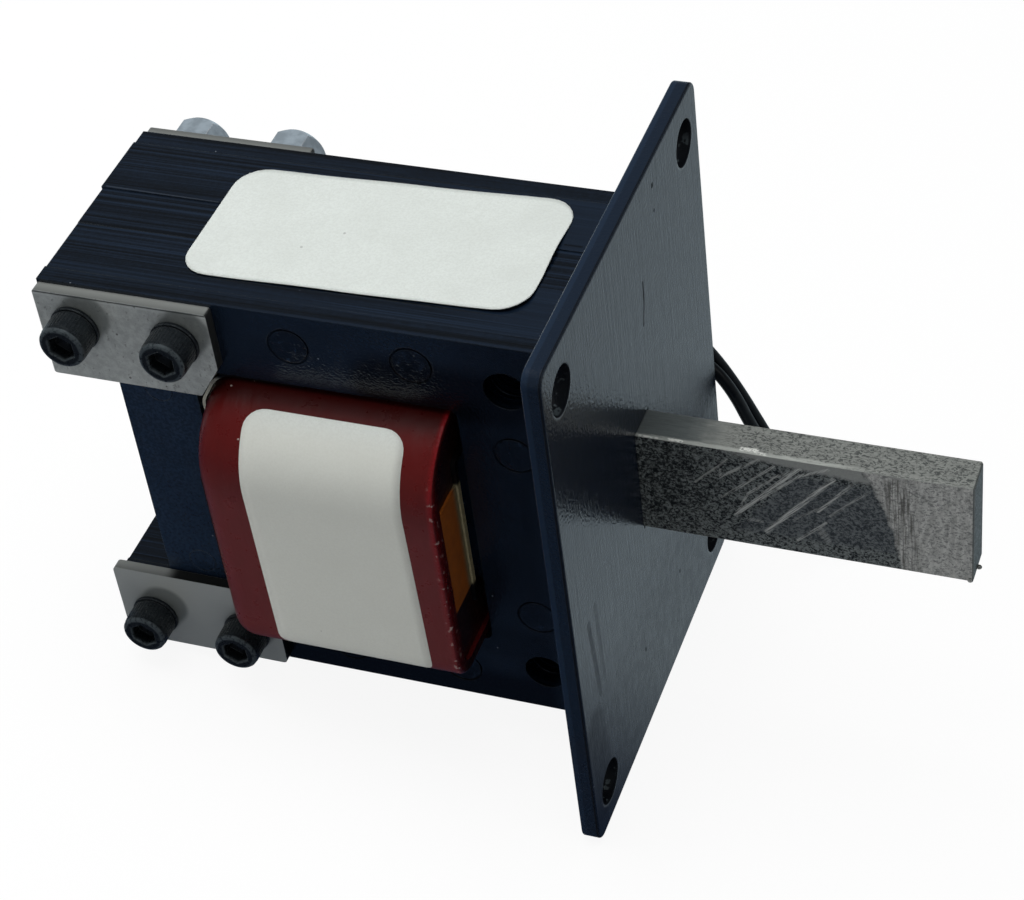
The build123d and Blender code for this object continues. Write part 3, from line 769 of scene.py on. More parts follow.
def enamel_material(
    name, grain=1.1, peel=1.0, dust=0.5, sheets=0.0, edge_wear_and_highlight=0.25, tint=1.0, lines=None, lumps=0.0, marks=None
):
    """Dark navy enamel: orange peel and dust, lines of the sheets over laminations with a painted highlight
    on the raised ones, single marks, where asked a painted highlight on the peel's high points, and lighter
    edges, partly worn paint and partly painted highlight.
    """
    look = bpy.context.scene.solenoid_finish
    material, tree, shader, place = new_material(name)
    edge = use_group(tree, "Edge Wear and Highlights", Place=place, Width=0.00035, Breakup=0.7, Amount=edge_wear_and_highlight)
    height = use_group(tree, "Orange Peel", Place=place, Grain=grain, Dust=dust)["Height"]
    normal = bump(tree, height, look.peel * peel, normal=edge["Normal"])
    base = shade_of(look.enamel, tint)
    colour = blend(tree, spread(tree, noise(tree, place, 0.09, 3.0), 0.3, 0.7), base, shade_of(base, 1.3))
    mottle = spread(tree, noise(tree, place, 1.7, 3.0, 0.6), 0.35, 0.65, 0.0, 0.55)
    colour = blend(tree, mottle, colour, shade_of(base, 0.45))
    if sheets:
        sheet = use_group(tree, "Streaks", Place=place, Stretch=(0.012, 2.6, 0.012))
        normal = bump(tree, sheet["Fine"], 0.000035 * sheets, normal=normal)
        normal = bump(tree, sheet["Broad"], 0.00006 * sheets, normal=normal)
        filled = spread(tree, sheet["Fine"], 0.38, 0.5, 0.1, 1.0)
        colour = blend(tree, filled, shade_of(base, 0.2), colour)
        # Painted highlight along the raised lines of the sheets
        raised = spread(tree, sheet["Fine"], 0.5, 0.64, 0.0, 0.8 * sheets)
        colour = blend(tree, raised, colour, shade_of(base, 2.7))
    if lines:
        drawn = use_group(tree, "Streaks", Place=place, Stretch=lines)["Fine"]
        normal = bump(tree, drawn, look.peel * 6.5, normal=normal)
    gloss = look.enamel_roughness
    rough = spread(tree, noise(tree, place, 0.4, 2.0), 0.3, 0.7, gloss * 0.8, gloss * 1.3)
    if marks == "field":
        colour = field_top_marks(tree, place, base, colour)
    elif marks == "near side":
        colour = near_side_marks(tree, place, base, colour)
    elif marks == "flange":
        colour, rough = flange_marks(tree, place, base, colour, rough)
    # Painted highlight on the peel's high points, for the rivets' lumpy enamel
    if lumps:
        colour = blend(tree, spread(tree, height, 0.66, 0.95, 0.0, lumps), colour, shade_of(base, 3.0))
    specks = use_group(tree, "Specks", Place=place, Per_mm=0.22, Size=0.035, Share=0.5)["Mask"]
    colour = blend(tree, times(tree, specks, 0.6), colour, linear(120, 128, 138))
    # Lighter edges: partly worn paint, partly painted highlight
    colour = blend(tree, edge["Mask"], colour, linear(110, 120, 130))
    set_shader(tree, shader, Base_Color=colour, Roughness=rough, Normal=normal, IOR=1.5)
    return material


def plate_material():
    """Satin zinc plate: cloudy face with specks, a sheared edge with painted shade and highlight lines
    along it, painted shade on the lower plates and on some cuts, and painted shade about the screw heads.
    """
    look = bpy.context.scene.solenoid_finish
    material, tree, shader, place = new_material("Satin zinc plate")
    x, y, z = apart(tree, place)
    plate = look.plate
    edge = use_group(tree, "Edge Wear and Highlights", Place=place, Width=0.0002, Breakup=0.3, Amount=0.35)
    cloud = noise(tree, place, 0.7, 5.0, 0.7)
    colour = blend(tree, spread(tree, cloud, 0.35, 0.65), plate, shade_of(plate, 0.78))
    pits = use_group(tree, "Specks", Place=place, Per_mm=0.45, Size=0.1, Share=0.3)["Mask"]
    colour = blend(tree, times(tree, pits, 0.8), colour, linear(96, 94, 88))
    smudges = spread(tree, noise(tree, stretched(tree, place, (1.1, 1.0, 0.8)), 1.0, 3.0, 0.7), 0.6, 0.68)
    colour = blend(tree, times(tree, smudges, 0.5), colour, linear(120, 120, 114))
    # Rolled and sheared edge of the sheet: a painted shade line and a painted highlight line along it, and
    # the grey cut
    below = calculate(tree, "SUBTRACT", GUIDE_OUTER_Z, unsigned(tree, z))
    dark_line = times(tree, spread(tree, below, 0.1, 0.2), spread(tree, below, 0.3, 0.5, 1.0, 0.0))
    light_line = times(tree, spread(tree, below, 0.42, 0.55), spread(tree, below, 0.75, 0.95, 1.0, 0.0))
    ahead, across, _ = facing(tree)
    cut = spread(tree, unsigned(tree, across), 0.5, 0.8, 1.0, 0.0)
    face = calculate(tree, "SUBTRACT", 1.0, cut)
    colour = blend(tree, times(tree, dark_line, 0.9), colour, shade_of(plate, 0.14))
    colour = blend(tree, times(tree, light_line, face, 0.5), colour, linear(232, 236, 234))
    # Painted shade: the lower plates darker than the upper ones
    colour = blend(tree, spread(tree, z, 10.0, -10.0), colour, shade_of(plate, 0.74))
    depth = calculate(tree, "SUBTRACT", unsigned(tree, y), SIDE_Y)
    worked = spread(tree, depth, 0.3, GUIDE_THICKNESS, 0.46, 0.3)
    cut_colour = blend(tree, worked, linear(40, 42, 42), plate)
    # Painted shadow on the cut of the lower plates near the plunger's head
    painted_shadow_on_cut = times(tree, spread(tree, x, -82.0, -79.0), spread(tree, z, 0.0, -5.0))
    cut_colour = blend(tree, times(tree, painted_shadow_on_cut, 0.95), cut_colour, linear(8, 9, 10))
    # Painted shade: cuts that face forwards, towards the coil, darker
    front_cut = spread(tree, ahead, 0.3, 0.6, 0.0, 0.85)
    cut_colour = blend(tree, front_cut, cut_colour, linear(22, 24, 27))
    colour = blend(tree, cut, colour, cut_colour)
    # Painted shade about each screw head
    shades = [(at, level, at + 2.3, level + 2.7, 8.4, 1.0) for at, level in SCREW_POINTS]
    halo = spread(tree, stroke_mask(tree, together(tree, x, z), shades), 0.25, 0.8, 0.0, 0.62)
    colour = blend(tree, times(tree, halo, face), colour, linear(84, 92, 94))
    colour = blend(tree, edge["Mask"], colour, linear(225, 228, 226))
    grain = use_group(tree, "Streaks", Place=place, Stretch=(0.3, 2.0, 3.0))["Fine"]
    rough = spread(tree, grain, 0.2, 0.8, 0.38, 0.52)
    normal = bump(tree, noise(tree, place, 2.6, 3.0), 0.000016, normal=edge["Normal"])
    set_shader(tree, shader, Base_Color=colour, Roughness=rough, Metallic=0.45, Normal=normal)
    return material


def oxide_material():
    """Black oxide on screws, with an oily sheen, a painted highlight round the front rim of each head and
    painted highlights along the edges.
    """
    material, tree, shader, place = new_material("Black oxide")
    _, y, _ = apart(tree, place)
    edge = use_group(tree, "Edge Wear and Highlights", Place=place, Width=0.00022, Breakup=0.6, Amount=0.6)
    cloud = noise(tree, place, 1.4, 4.0, 0.65)
    colour = blend(tree, cloud, linear(22, 26, 30), linear(42, 48, 52))
    # Painted highlight: a light ring round the front rim of each head
    rim = times(
        tree,
        spread(tree, y, SCREW_FRONT_Y + 0.75, SCREW_FRONT_Y + 0.4),
        spread(tree, y, SCREW_FRONT_Y + 0.01, SCREW_FRONT_Y + 0.06),
        spread(tree, cloud, 0.35, 0.55, 0.3, 0.8),
    )
    colour = blend(tree, rim, colour, linear(92, 101, 105))
    # Painted highlights along the edges
    colour = blend(tree, edge["Mask"], colour, linear(120, 126, 128))
    rough = spread(tree, cloud, 0.3, 0.7, 0.22, 0.42)
    normal = bump(tree, noise(tree, place, 5.0, 2.0), 0.000008, normal=edge["Normal"])
    set_shader(tree, shader, Base_Color=colour, Roughness=rough, Metallic=0.4, Normal=normal)
    return material


def bright_material(name, colour, rough=0.22, grain=2.0, metal=1.0, edge_wear_and_highlight=0.4, low=0.78):
    """Bright plated or bare steel with fine marks, and lighter edges, partly worn metal and partly painted
    glints.
    """
    material, tree, shader, place = new_material(name)
    edge = use_group(tree, "Edge Wear and Highlights", Place=place, Width=0.00025, Breakup=0.5, Amount=edge_wear_and_highlight)
    cloud = noise(tree, place, grain, 3.0)
    tint = blend(tree, spread(tree, cloud, 0.35, 0.65), colour, shade_of(colour, low))
    # Lighter edges: partly worn metal, partly painted glints
    tint = blend(tree, edge["Mask"], tint, shade_of(colour, 1.6))
    normal = bump(tree, noise(tree, place, 4.0, 2.0), 0.000006, normal=edge["Normal"])
    set_shader(
        tree,
        shader,
        Base_Color=tint,
        Roughness=spread(tree, cloud, 0.3, 0.7, rough * 0.75, rough * 1.3),
        Metallic=metal,
        Normal=normal,
    )
    return material


def plain_material(name, colour, rough=0.5, grain=1.5, depth=0.00002, variation=0.75, coat=0.0):
    """Moulded or sheet insulation: a mottled colour with a fine texture."""
    material, tree, shader, place = new_material(name)
    cloud = noise(tree, place, grain, 4.0, 0.6)
    tint = blend(tree, cloud, colour, shade_of(colour, variation))
    set_shader(
        tree,
        shader,
        Base_Color=tint,
        Roughness=spread(tree, cloud, 0.25, 0.75, rough * 0.85, min(1.0, rough * 1.15)),
        Normal=bump(tree, cloud, depth),
        Coat_Weight=coat,
    )
    return material


def jacket_material():
    """Red brown baked varnish: soft runs and waves, painted shade on the upper arc, near the field and on
    the front face, a painted grey reflection low on the near side, and a painted deep red highlight with
    chipped flecks and painted glints along the front edge.
    """
    look = bpy.context.scene.solenoid_finish
    material, tree, shader, place = new_material("Coil varnish")
    x, y, z = apart(tree, place)
    runs = noise(tree, stretched(tree, place, (0.18, 0.05, 0.05)), 1.0, 3.0, 0.5)
    colour = blend(tree, spread(tree, runs, 0.3, 0.72), look.jacket, shade_of(look.jacket, 0.72))
    blots = noise(tree, place, 0.35, 4.0, 0.6)
    colour = blend(tree, spread(tree, blots, 0.55, 0.8, 0.0, 0.2), colour, linear(132, 72, 62))
    # Painted shade: a deeper, darker red on the upper arc
    colour = blend(tree, spread(tree, z, 20.0, 4.0), linear(97, 21, 20), colour)
    # Painted shade on the top next to the field
    shaded = times(tree, spread(tree, y, -25.5, -21.5), spread(tree, z, 14.0, 20.0))
    colour = blend(tree, times(tree, shaded, 0.8), colour, shade_of(look.jacket, 0.2))
    # Painted reflection: a grey haze on the lower near side
    painted_grey_reflection = times(tree, spread(tree, z, 18.0, 6.0), spread(tree, y, -28.0, -31.0))
    colour = blend(tree, times(tree, painted_grey_reflection, 0.8), colour, linear(118, 50, 50))
    # Painted shade: the front face dark, darkest at its outer part
    front = spread(tree, facing(tree)[0], 0.3, 0.75)
    outer = spread(tree, unsigned(tree, y), COIL_HALF_WIDTH - 3.5, COIL_HALF_WIDTH - 0.5)
    front_colour = blend(tree, outer, linear(36, 5, 5), linear(86, 4, 6))
    colour = blend(tree, times(tree, front, 0.9), colour, front_colour)
    # Painted highlight: a deep red band along the front rim
    ragged = calculate(tree, "MULTIPLY_ADD", blots, 1.2, x)
    rim = spread(tree, ragged, COIL_FRONT_X - 0.9, COIL_FRONT_X + 0.4)
    painted_rim_highlight = times(tree, rim, spread(tree, z, -16.0, 6.0, 0.25, 0.8), spread(tree, front, 0.9, 0.3))
    colour = blend(tree, painted_rim_highlight, colour, linear(138, 16, 24))
    # Light flecks along the rim's sides: partly chipped varnish, partly painted glints
    chipped_flecks_and_glints = spread(tree, noise(tree, place, 0.95, 2.0, 0.6), 0.61, 0.65)
    sides = spread(tree, unsigned(tree, y), COIL_HALF_WIDTH - 2.5, COIL_HALF_WIDTH - 1.0)
    chipped_flecks_and_glints = times(tree, chipped_flecks_and_glints, rim, sides)
    colour = blend(tree, times(tree, chipped_flecks_and_glints, 0.6), colour, linear(190, 170, 164))
    grains = use_group(tree, "Specks", Place=place, Per_mm=0.4, Size=0.07, Share=0.5)["Mask"]
    upper = times(tree, spread(tree, z, 10.0, 20.0), spread(tree, x, -50.0, -58.0))
    colour = blend(tree, times(tree, grains, upper, 0.7), colour, linear(200, 190, 182))
    waves = noise(tree, stretched(tree, place, (0.4, 0.14, 0.14)), 1.0, 3.0)
    normal = bump(tree, waves, 0.00018)
    normal = bump(tree, noise(tree, place, 2.2, 3.0), 0.000014, normal=normal)
    lumps = times(tree, rim, noise(tree, place, 1.3, 3.0))
    normal = bump(tree, lumps, 0.0002, normal=normal)
    rough = spread(tree, blots, 0.3, 0.7, 0.26, 0.38)
    set_shader(tree, shader, Base_Color=colour, Roughness=rough, Normal=normal, IOR=1.42)
    return material


def tube_material():
    """Coil tube: its end beside the insulating strip is bare and cream, the rest dark."""
    material, tree, shader, place = new_material("Coil tube")
    _, _, z = apart(tree, place)
    cloud = noise(tree, place, 1.2, 4.0, 0.6)
    bare = spread(tree, unsigned(tree, z), 11.4, 10.4)
    cream = blend(tree, cloud, linear(206, 194, 152), linear(122, 112, 88))
    colour = blend(tree, bare, linear(14, 9, 8), cream)
    set_shader(tree, shader, Base_Color=colour, Roughness=0.5, Normal=bump(tree, cloud, 0.00003))
    return material


def spring_material():
    """Leaf spring: bright where it hugs the coil's corner, dark on its tab."""
    material, tree, shader, place = new_material("Spring steel")
    _, _, z = apart(tree, place)
    cloud = noise(tree, place, 2.0, 3.0)
    bright = blend(tree, cloud, linear(232, 230, 214), linear(196, 192, 170))
    tab = spread(tree, z, COIL_TOP_Z - 1.0, COIL_TOP_Z - 0.2)
    colour = blend(tree, tab, bright, linear(22, 18, 18))
    normal = bump(tree, cloud, 0.00001)
    set_shader(tree, shader, Base_Color=colour, Roughness=0.3, Metallic=0.25, Normal=normal)
    return material


def strip_material():
    """Insulating strips: amber with a cream outer edge at the coil's front, brown at its rear."""
    material, tree, shader, place = new_material("Amber insulation")
    x, y, _ = apart(tree, place)
    cloud = noise(tree, place, 0.6, 4.0, 0.6)
    amber = blend(tree, cloud, linear(198, 112, 40), linear(150, 78, 30))
    cream = blend(tree, cloud, linear(150, 138, 104), linear(110, 100, 76))
    inner = spread(tree, unsigned(tree, y), STRIP_INNER_Y + 2.2, STRIP_INNER_Y + 0.6)
    colour = blend(tree, inner, amber, cream)
    colour = blend(tree, spread(tree, x, -40.0, -50.0), colour, linear(50, 24, 16))
    normal = bump(tree, cloud, 0.00003)
    set_shader(tree, shader, Base_Color=colour, Roughness=0.4, Normal=normal)
    return material


def label_material():
    """White label stock: paper grain, faint soiling and a few specks."""
    look = bpy.context.scene.solenoid_finish
    material, tree, shader, place = new_material("Label stock")
    cloud = noise(tree, place, 0.12, 4.0, 0.6)
    colour = blend(tree, spread(tree, cloud, 0.35, 0.75, 0.0, 0.35), look.label, linear(222, 227, 221))
    paper = noise(tree, place, 2.4, 4.0, 0.75)
    colour = blend(tree, spread(tree, paper, 0.35, 0.65, 0.0, 0.5), colour, linear(217, 222, 216))
    _, y, _ = apart(tree, place)
    colour = blend(tree, spread(tree, y, -22.0, -28.0, 0.0, 0.6), colour, linear(234, 233, 222))
    specks = use_group(tree, "Specks", Place=place, Per_mm=0.21, Size=0.05, Share=0.15)["Mask"]
    colour = blend(tree, times(tree, specks, 0.5), colour, linear(150, 150, 146))
    normal = bump(tree, paper, 0.000008)
    normal = bump(tree, noise(tree, place, 0.16, 2.0), 0.00006, normal=normal)
    set_shader(tree, shader, Base_Color=colour, Roughness=0.45, Normal=normal, Coat_Weight=0.1)
    return material


def rubbed_patch(tree, x, z, past_arc, wander):
    """Mask of the bar's rubbed patch, between a slanting line and the arc where the ground end begins."""
    edge_x, edge_z = PATCH_EDGE_POINT
    across_x, across_z = PATCH_EDGE_ACROSS
    level_share = times(tree, calculate(tree, "SUBTRACT", x, edge_x), across_x)
    past_line = calculate(
        tree, "MULTIPLY_ADD", calculate(tree, "SUBTRACT", z, edge_z), across_z, level_share
    )
    return times(
        tree,
        spread(tree, calculate(tree, "ADD", past_line, wander), -0.5, 0.7),
        spread(tree, past_arc, 0.3, -0.3),
        spread(tree, calculate(tree, "ADD", z, wander), -7.4, -6.0),
        spread(tree, z, 7.2, 5.8),
    )


def bar_scratches(tree, x, z):
    """Mask of the bar's scratches, each a bundle of fine slanting hairs."""
    run_x, run_z = SCRATCH_RUN
    slant = calculate(tree, "MULTIPLY_ADD", z, -run_x, times(tree, x, run_z))
    along = calculate(tree, "MULTIPLY_ADD", z, run_z, times(tree, x, run_x))
    drawn = together(tree, times(tree, slant, 4.2), times(tree, along, 0.22))
    hairs = spread(tree, noise(tree, drawn, 1.0, 2.0, 0.6), 0.4, 0.58, 0.12, 1.0)
    return times(tree, stroke_mask(tree, together(tree, x, z), BAR_SCRATCHES), hairs)


def narrow_face_colour(tree, place, worms, grain, wander):
    """The bar's narrow faces: dark near the flange, lighter and marked towards the end, a burred edge."""
    x, y, _ = apart(tree, place)
    brushed = noise(tree, stretched(tree, place, (0.35, 3.0, 3.0)), 1.0, 4.0, 0.7)
    marks = noise(tree, stretched(tree, worms, (1.4, 3.0, 2.0)), 1.0, 2.0, 0.7)
    marks = times(tree, spread(tree, marks, 0.48, 0.6), spread(tree, x, 12.0, 17.0, 0.0, 0.85))
    shade = spread(tree, calculate(tree, "MULTIPLY_ADD", wander, 2.5, x), 7.0, 15.0)
    colour = blend(tree, shade, linear(105, 112, 112), linear(158, 161, 156))
    colour = blend(tree, spread(tree, brushed, 0.35, 0.75, 0.0, 0.4), colour, linear(60, 65, 65))
    colour = blend(tree, marks, colour, linear(64, 68, 68))
    burr = times(
        tree,
        spread(tree, calculate(tree, "MULTIPLY_ADD", wander, 0.3, y), -2.1, -2.6),
        spread(tree, brushed, 0.3, 0.6, 0.4, 1.0),
        spread(tree, x, 40.0, 30.0, 0.15, 1.0),
    )
    colour = blend(tree, burr, colour, linear(190, 194, 188))
    glints = times(
        tree, stroke_mask(tree, together(tree, x, y), BAR_GLINTS), spread(tree, grain, 0.4, 0.5)
    )
    return blend(tree, glints, colour, linear(250, 252, 246))


def bar_material():
    """Push bar: mottled dark scale, scratches, a rubbed patch, a ground end and brushed narrow faces."""
    look = bpy.context.scene.solenoid_finish
    material, tree, shader, place = new_material("Push bar steel")
    x, _, z = apart(tree, place)
    ahead, side, up = facing(tree)
    narrow = spread(tree, unsigned(tree, up), 0.5, 0.8)
    near = spread(tree, side, -0.5, -0.8)
    edge = use_group(tree, "Edge Wear and Highlights", Place=place, Width=0.0003, Breakup=0.6, Amount=0.7)
    # The scale's grain, its place bent by a noise so that it reads as short worms
    bent = add_node(tree, "ShaderNodeTexNoise", {"Vector": place, "Scale": 1.3, "Detail": 1.0})
    worms = vector_outputs(tree, "ADD", bent.outputs["Color"], place)[0]
    grain = noise(tree, stretched(tree, worms, (1.9, 2.4, 2.6)), 1.0, 2.0, 0.7)
    forward = spread(tree, x, 6.0, 18.0, 0.0, 0.03)
    lift = calculate(tree, "ADD", forward, spread(tree, z, -3.0, -9.0, 0.0, 0.03))
    mottle = spread(tree, calculate(tree, "ADD", grain, lift), 0.45, 0.63, smooth=False)
    colour = blend(tree, mottle, linear(10, 14, 17), linear(136, 143, 142))
    wander = calculate(tree, "MULTIPLY_ADD", noise(tree, place, 0.7, 3.0), 2.0, -1.0)
    centre_x, centre_z = GROUND_ARC_CENTRE
    from_centre = length_of(
        tree,
        together(
            tree,
            calculate(tree, "SUBTRACT", x, centre_x),
            calculate(tree, "SUBTRACT", z, centre_z),
        ),
    )
    past_arc = calculate(
        tree, "ADD", calculate(tree, "SUBTRACT", from_centre, GROUND_ARC_RADIUS), wander
    )
    patch = rubbed_patch(tree, x, z, past_arc, wander)
    patch_colour = blend(tree, mottle, linear(58, 64, 68), linear(116, 122, 125))
    colour = blend(tree, times(tree, patch, 0.85), colour, patch_colour)
    hem = calculate(tree, "MULTIPLY_ADD", x, -0.075, calculate(tree, "MULTIPLY_ADD", wander, 0.3, 10.3))
    under_edge = times(
        tree,
        spread(tree, calculate(tree, "SUBTRACT", z, hem), -0.5, 0.5),
        spread(tree, x, 12.0, 20.0),
        spread(tree, past_arc, 0.5, -0.5),
    )
    colour = blend(tree, times(tree, under_edge, 0.85), colour, linear(166, 169, 166))
    uprights = noise(tree, stretched(tree, place, (1.1, 1.0, 0.28)), 1.0, 4.0, 0.7)
    ground_colour = blend(tree, spread(tree, uprights, 0.35, 0.68), look.bar, shade_of(look.bar, 0.68))
    pitted = spread(tree, grain, 0.55, 0.35, 0.0, 0.75)
    ground_colour = blend(tree, pitted, ground_colour, linear(112, 114, 112))
    ground = times(tree, spread(tree, past_arc, -0.2, 0.6), spread(tree, x, 30.0, 37.0))
    colour = blend(tree, ground, colour, ground_colour)
    scratches = times(tree, bar_scratches(tree, x, z), near)
    colour = blend(tree, scratches, colour, linear(208, 211, 207))
    combed = noise(tree, stretched(tree, place, (3.0, 1.0, 0.16)), 1.0, 3.0, 0.6)
    combed = times(tree, spread(tree, combed, 0.42, 0.62), spread(tree, past_arc, 0.0, 0.8))
    brown = times(tree, combed, near, stroke_mask(tree, together(tree, x, z), BAR_BRUSHED))
    colour = blend(tree, brown, colour, linear(92, 90, 84))
    colour = blend(tree, narrow, colour, narrow_face_colour(tree, place, worms, grain, wander))
    end_colour = blend(tree, spread(tree, grain, 0.3, 0.7), linear(68, 77, 76), linear(44, 52, 51))
    colour = blend(tree, spread(tree, ahead, 0.5, 0.8), colour, end_colour)
    colour = blend(tree, times(tree, edge["Mask"], 0.8), colour, linear(186, 188, 184))
    metal = spread(tree, largest(tree, ground, scratches, narrow), 0.0, 1.0, 0.05, 0.2)
    rough = spread(tree, mottle, 0.0, 1.0, 0.36, 0.5)
    normal = bump(tree, grain, 0.00003, normal=edge["Normal"])
    normal = bump(tree, scratches, 0.00003, 0.6, normal=normal)
    set_shader(tree, shader, Base_Color=colour, Roughness=rough, Metallic=metal, Normal=normal)
    return material


def lead_material():
    """Black lead insulation, satin, with faint handling marks."""
    material, tree, shader, place = new_material("Lead insulation")
    cloud = noise(tree, place, 0.8, 3.0)
    colour = blend(tree, cloud, linear(2, 5, 9), linear(5, 9, 13))
    set_shader(
        tree,
        shader,
        Base_Color=colour,
        Roughness=spread(tree, cloud, 0.3, 0.7, 0.28, 0.42),
        Specular_IOR_Level=0.3,
        Normal=bump(tree, noise(tree, place, 3.5, 2.0), 0.00001),
    )
    return material


# Fine pieces


def sheet_points(length, width, corner, columns, rows):
    """Points of a sheet with round corners, in columns along its length, each with its rows across."""
    ends = [1 - math.cos(math.radians(90 * step / 6)) for step in range(7)]
    stations = [corner * share for share in ends]
    middle = [corner + (length - 2 * corner) * step / columns for step in range(1, columns)]
    stations += middle + [length - corner * share for share in reversed(ends)]
    points = []
    for station in stations:
        inset = max(corner - station, station - (length - corner), 0.0)
        half = width / 2 - (corner - math.sqrt(max(corner**2 - inset**2, 0.0)))
        points.append([(station - length / 2, half * (2 * row / rows - 1)) for row in range(rows + 1)])
    return points


def sheet_piece(name, points, put, thickness, material, cad_node):
    """A thin sheet laid on the object: put gives the place, in metres, of each flat point."""
    builder = bmesh.new()
    grid = [[builder.verts.new(put(*point)) for point in column] for column in points]
    for left, right in zip(grid, grid[1:]):
        for row in range(len(left) - 1):
            builder.faces.new((left[row], right[row], right[row + 1], left[row + 1]))
    for face in builder.faces:
        face.smooth = True
    made = mesh_object(name, builder, material)
    solid = made.modifiers.new("Thickness", "SOLIDIFY")
    solid.thickness = thickness
    solid.offset = 1.0
    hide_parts(cad_node)
    return made


def round_corners(corners, radius, steps=5):
    """The closed outline with each corner rounded."""
    made = []
    for before, corner, after in zip((corners[-1], *corners[:-1]), corners, (*corners[1:], corners[0])):
        one = Vector(before) - Vector(corner)
        other = Vector(after) - Vector(corner)
        reach = radius / math.tan(one.angle(other) / 2)
        start = Vector(corner) + one.normalized() * reach
        stop = Vector(corner) + other.normalized() * reach
        for step in range(steps + 1):
            share = step / steps
            bent = start * (1 - share) ** 2 + 2 * share * (1 - share) * Vector(corner) + stop * share**2
            made.append(tuple(bent))
    return made


def guide_plate(name, material):
    """One guide plate, sheared from sheet: small corners, softly rounded edges and its two screw holes."""
    low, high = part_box(name)
    level = 1 if high[2] > 0 else -1
    if level > 0:
        loops = [round_corners(GUIDE_OUTLINE, UPPER_GUIDE_CORNER)]
    else:
        outline = [(x, LOWER_GUIDE_INNER_Z if z == GUIDE_INNER_Z else z) for x, z in GUIDE_OUTLINE]
        loops = [round_corners(outline, LOWER_GUIDE_CORNER)]
    radius = GUIDE_HOLE_RADIUS
    for x, z in SCREW_POINTS:
        if z > 0:
            turns = [2 * math.pi * step / 32 for step in range(32)]
            loops.append([(x + radius * math.cos(turn), z + radius * math.sin(turn)) for turn in turns])
    builder = bmesh.new()
    edges = []
    for loop in loops:
        made = [builder.verts.new((x * MM, low[1], level * z * MM)) for x, z in loop]
        edges += [builder.edges.new(pair) for pair in zip(made, made[1:] + made[:1])]
    bmesh.ops.triangle_fill(builder, edges=edges, use_beauty=True)
    grown = bmesh.ops.extrude_face_region(builder, geom=builder.faces[:])["geom"]
    for vert in grown:
        if isinstance(vert, bmesh.types.BMVert):
            vert.co.y = high[1]
    bmesh.ops.recalc_face_normals(builder, faces=builder.faces)
    plate = mesh_object(f"{name}_sheet", builder, material)
    soft = plate.modifiers.new("Soft edges", "BEVEL")
    soft.width = GUIDE_EDGE_ROUNDING * MM
    soft.segments = 3
    soft.limit_method = "ANGLE"
    soft.angle_limit = math.radians(50)
    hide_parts(name)
    return plate


def jacket_path(grow):
    """Places along the near half of the coil's outline, from its top middle down to its bottom middle."""
    left = -COIL_HALF_WIDTH - grow
    top, bottom = COIL_TOP_Z + grow, COIL_BOTTOM_Z - grow
    upper, lower = COIL_UPPER_CORNER + grow, COIL_LOWER_CORNER + grow
    places = [(0.0, top)]
    for step in range(33):
        turn = math.radians(90 + 90 * step / 32)
        places.append((left + upper + upper * math.cos(turn), top - upper + upper * math.sin(turn)))
    for step in range(17):
        turn = math.radians(180 + 90 * step / 16)
        places.append((left + lower + lower * math.cos(turn), bottom + lower + lower * math.sin(turn)))
    places.append((0.0, bottom))
    return places


def at_length(places, wanted):
    """The place at a length along a line of places."""
    for (ya, za), (yb, zb) in zip(places, places[1:]):
        run = math.dist((ya, za), (yb, zb))
        if wanted <= run:
            share = wanted / run
            return ya + (yb - ya) * share, za + (zb - za) * share
        wanted -= run
    return places[-1]


def knurled_screw(builder, x, z, sizes):
    """One socket head cap screw along Y on its lock washer, its head at the near side, into the bmesh."""
    head, shank = SCREW_HEAD_RADIUS, SCREW_SHANK_RADIUS
    plate = -SIDE_Y - GUIDE_THICKNESS
    seat = plate - WASHER_HEIGHT
    front = seat - SCREW_HEAD_HEIGHT
    tip = plate + SCREW_LENGTH
    count = KNURL_TEETH * 4
    depth = sizes.knurl_depth / MM

    def ring(y, radius_at):
        made = []
        for step in range(count):
            turn = 2 * math.pi * step / count
            radius = radius_at(step, turn)
            place = (x + radius * math.cos(turn), y, z + radius * math.sin(turn))
            made.append(builder.verts.new([part * MM for part in place]))
        return made

    def turned(y, radius):
        return ring(y, lambda step, turn: radius)

    def hexagon(y, half):
        sixth = math.pi / 3
        return ring(y, lambda step, turn: half / math.cos((turn + sixth / 2) % sixth - sixth / 2))

    def toothed(y):
        return ring(y, lambda step, turn: head - depth * (0.0, 0.55, 1.0, 0.55)[step % 4])

    def threaded(y):
        def radius_at(step, turn):
            phase = ((y - seat) / THREAD_PITCH + step / count) % 1.0
            return shank - THREAD_DEPTH * abs(2 * phase - 1)

        return ring(y, radius_at)

    rings = [turned(tip, 1.2), turned(tip, 1.85)]
    y = tip - 0.35
    while y > tip - THREAD_SEEN:
        rings.append(threaded(y))
        y -= 0.1
    rings += [
        turned(y, shank),
        turned(plate, shank),
        turned(plate, head + 0.05),
        turned(plate - 0.1, head + 0.17),
        turned(plate - 0.6, head + 0.17),
        turned(seat, head + 0.05),
        turned(seat, head - 0.35),
        toothed(seat - 0.3),
        toothed(front + 1.15),
        turned(front + 0.95, head - 0.07),
        turned(front + 0.5, head - 0.12),
        turned(front + 0.22, head - 0.3),
        turned(front + 0.06, head - 0.6),
        turned(front, head - 0.95),
        hexagon(front, SOCKET_FLATS / 2 + 0.22),
        hexagon(front + 0.2, SOCKET_FLATS / 2),
        hexagon(front + 2.3, SOCKET_FLATS / 2),
        turned(front + 2.9, 0.6),
    ]
    for one, other in zip(rings, rings[1:]):
        for step in range(count):
            after = (step + 1) % count
            builder.faces.new((one[step], one[after], other[after], other[step]))
    builder.faces.new(reversed(rings[0]))
    builder.faces.new(rings[-1])


# Operators


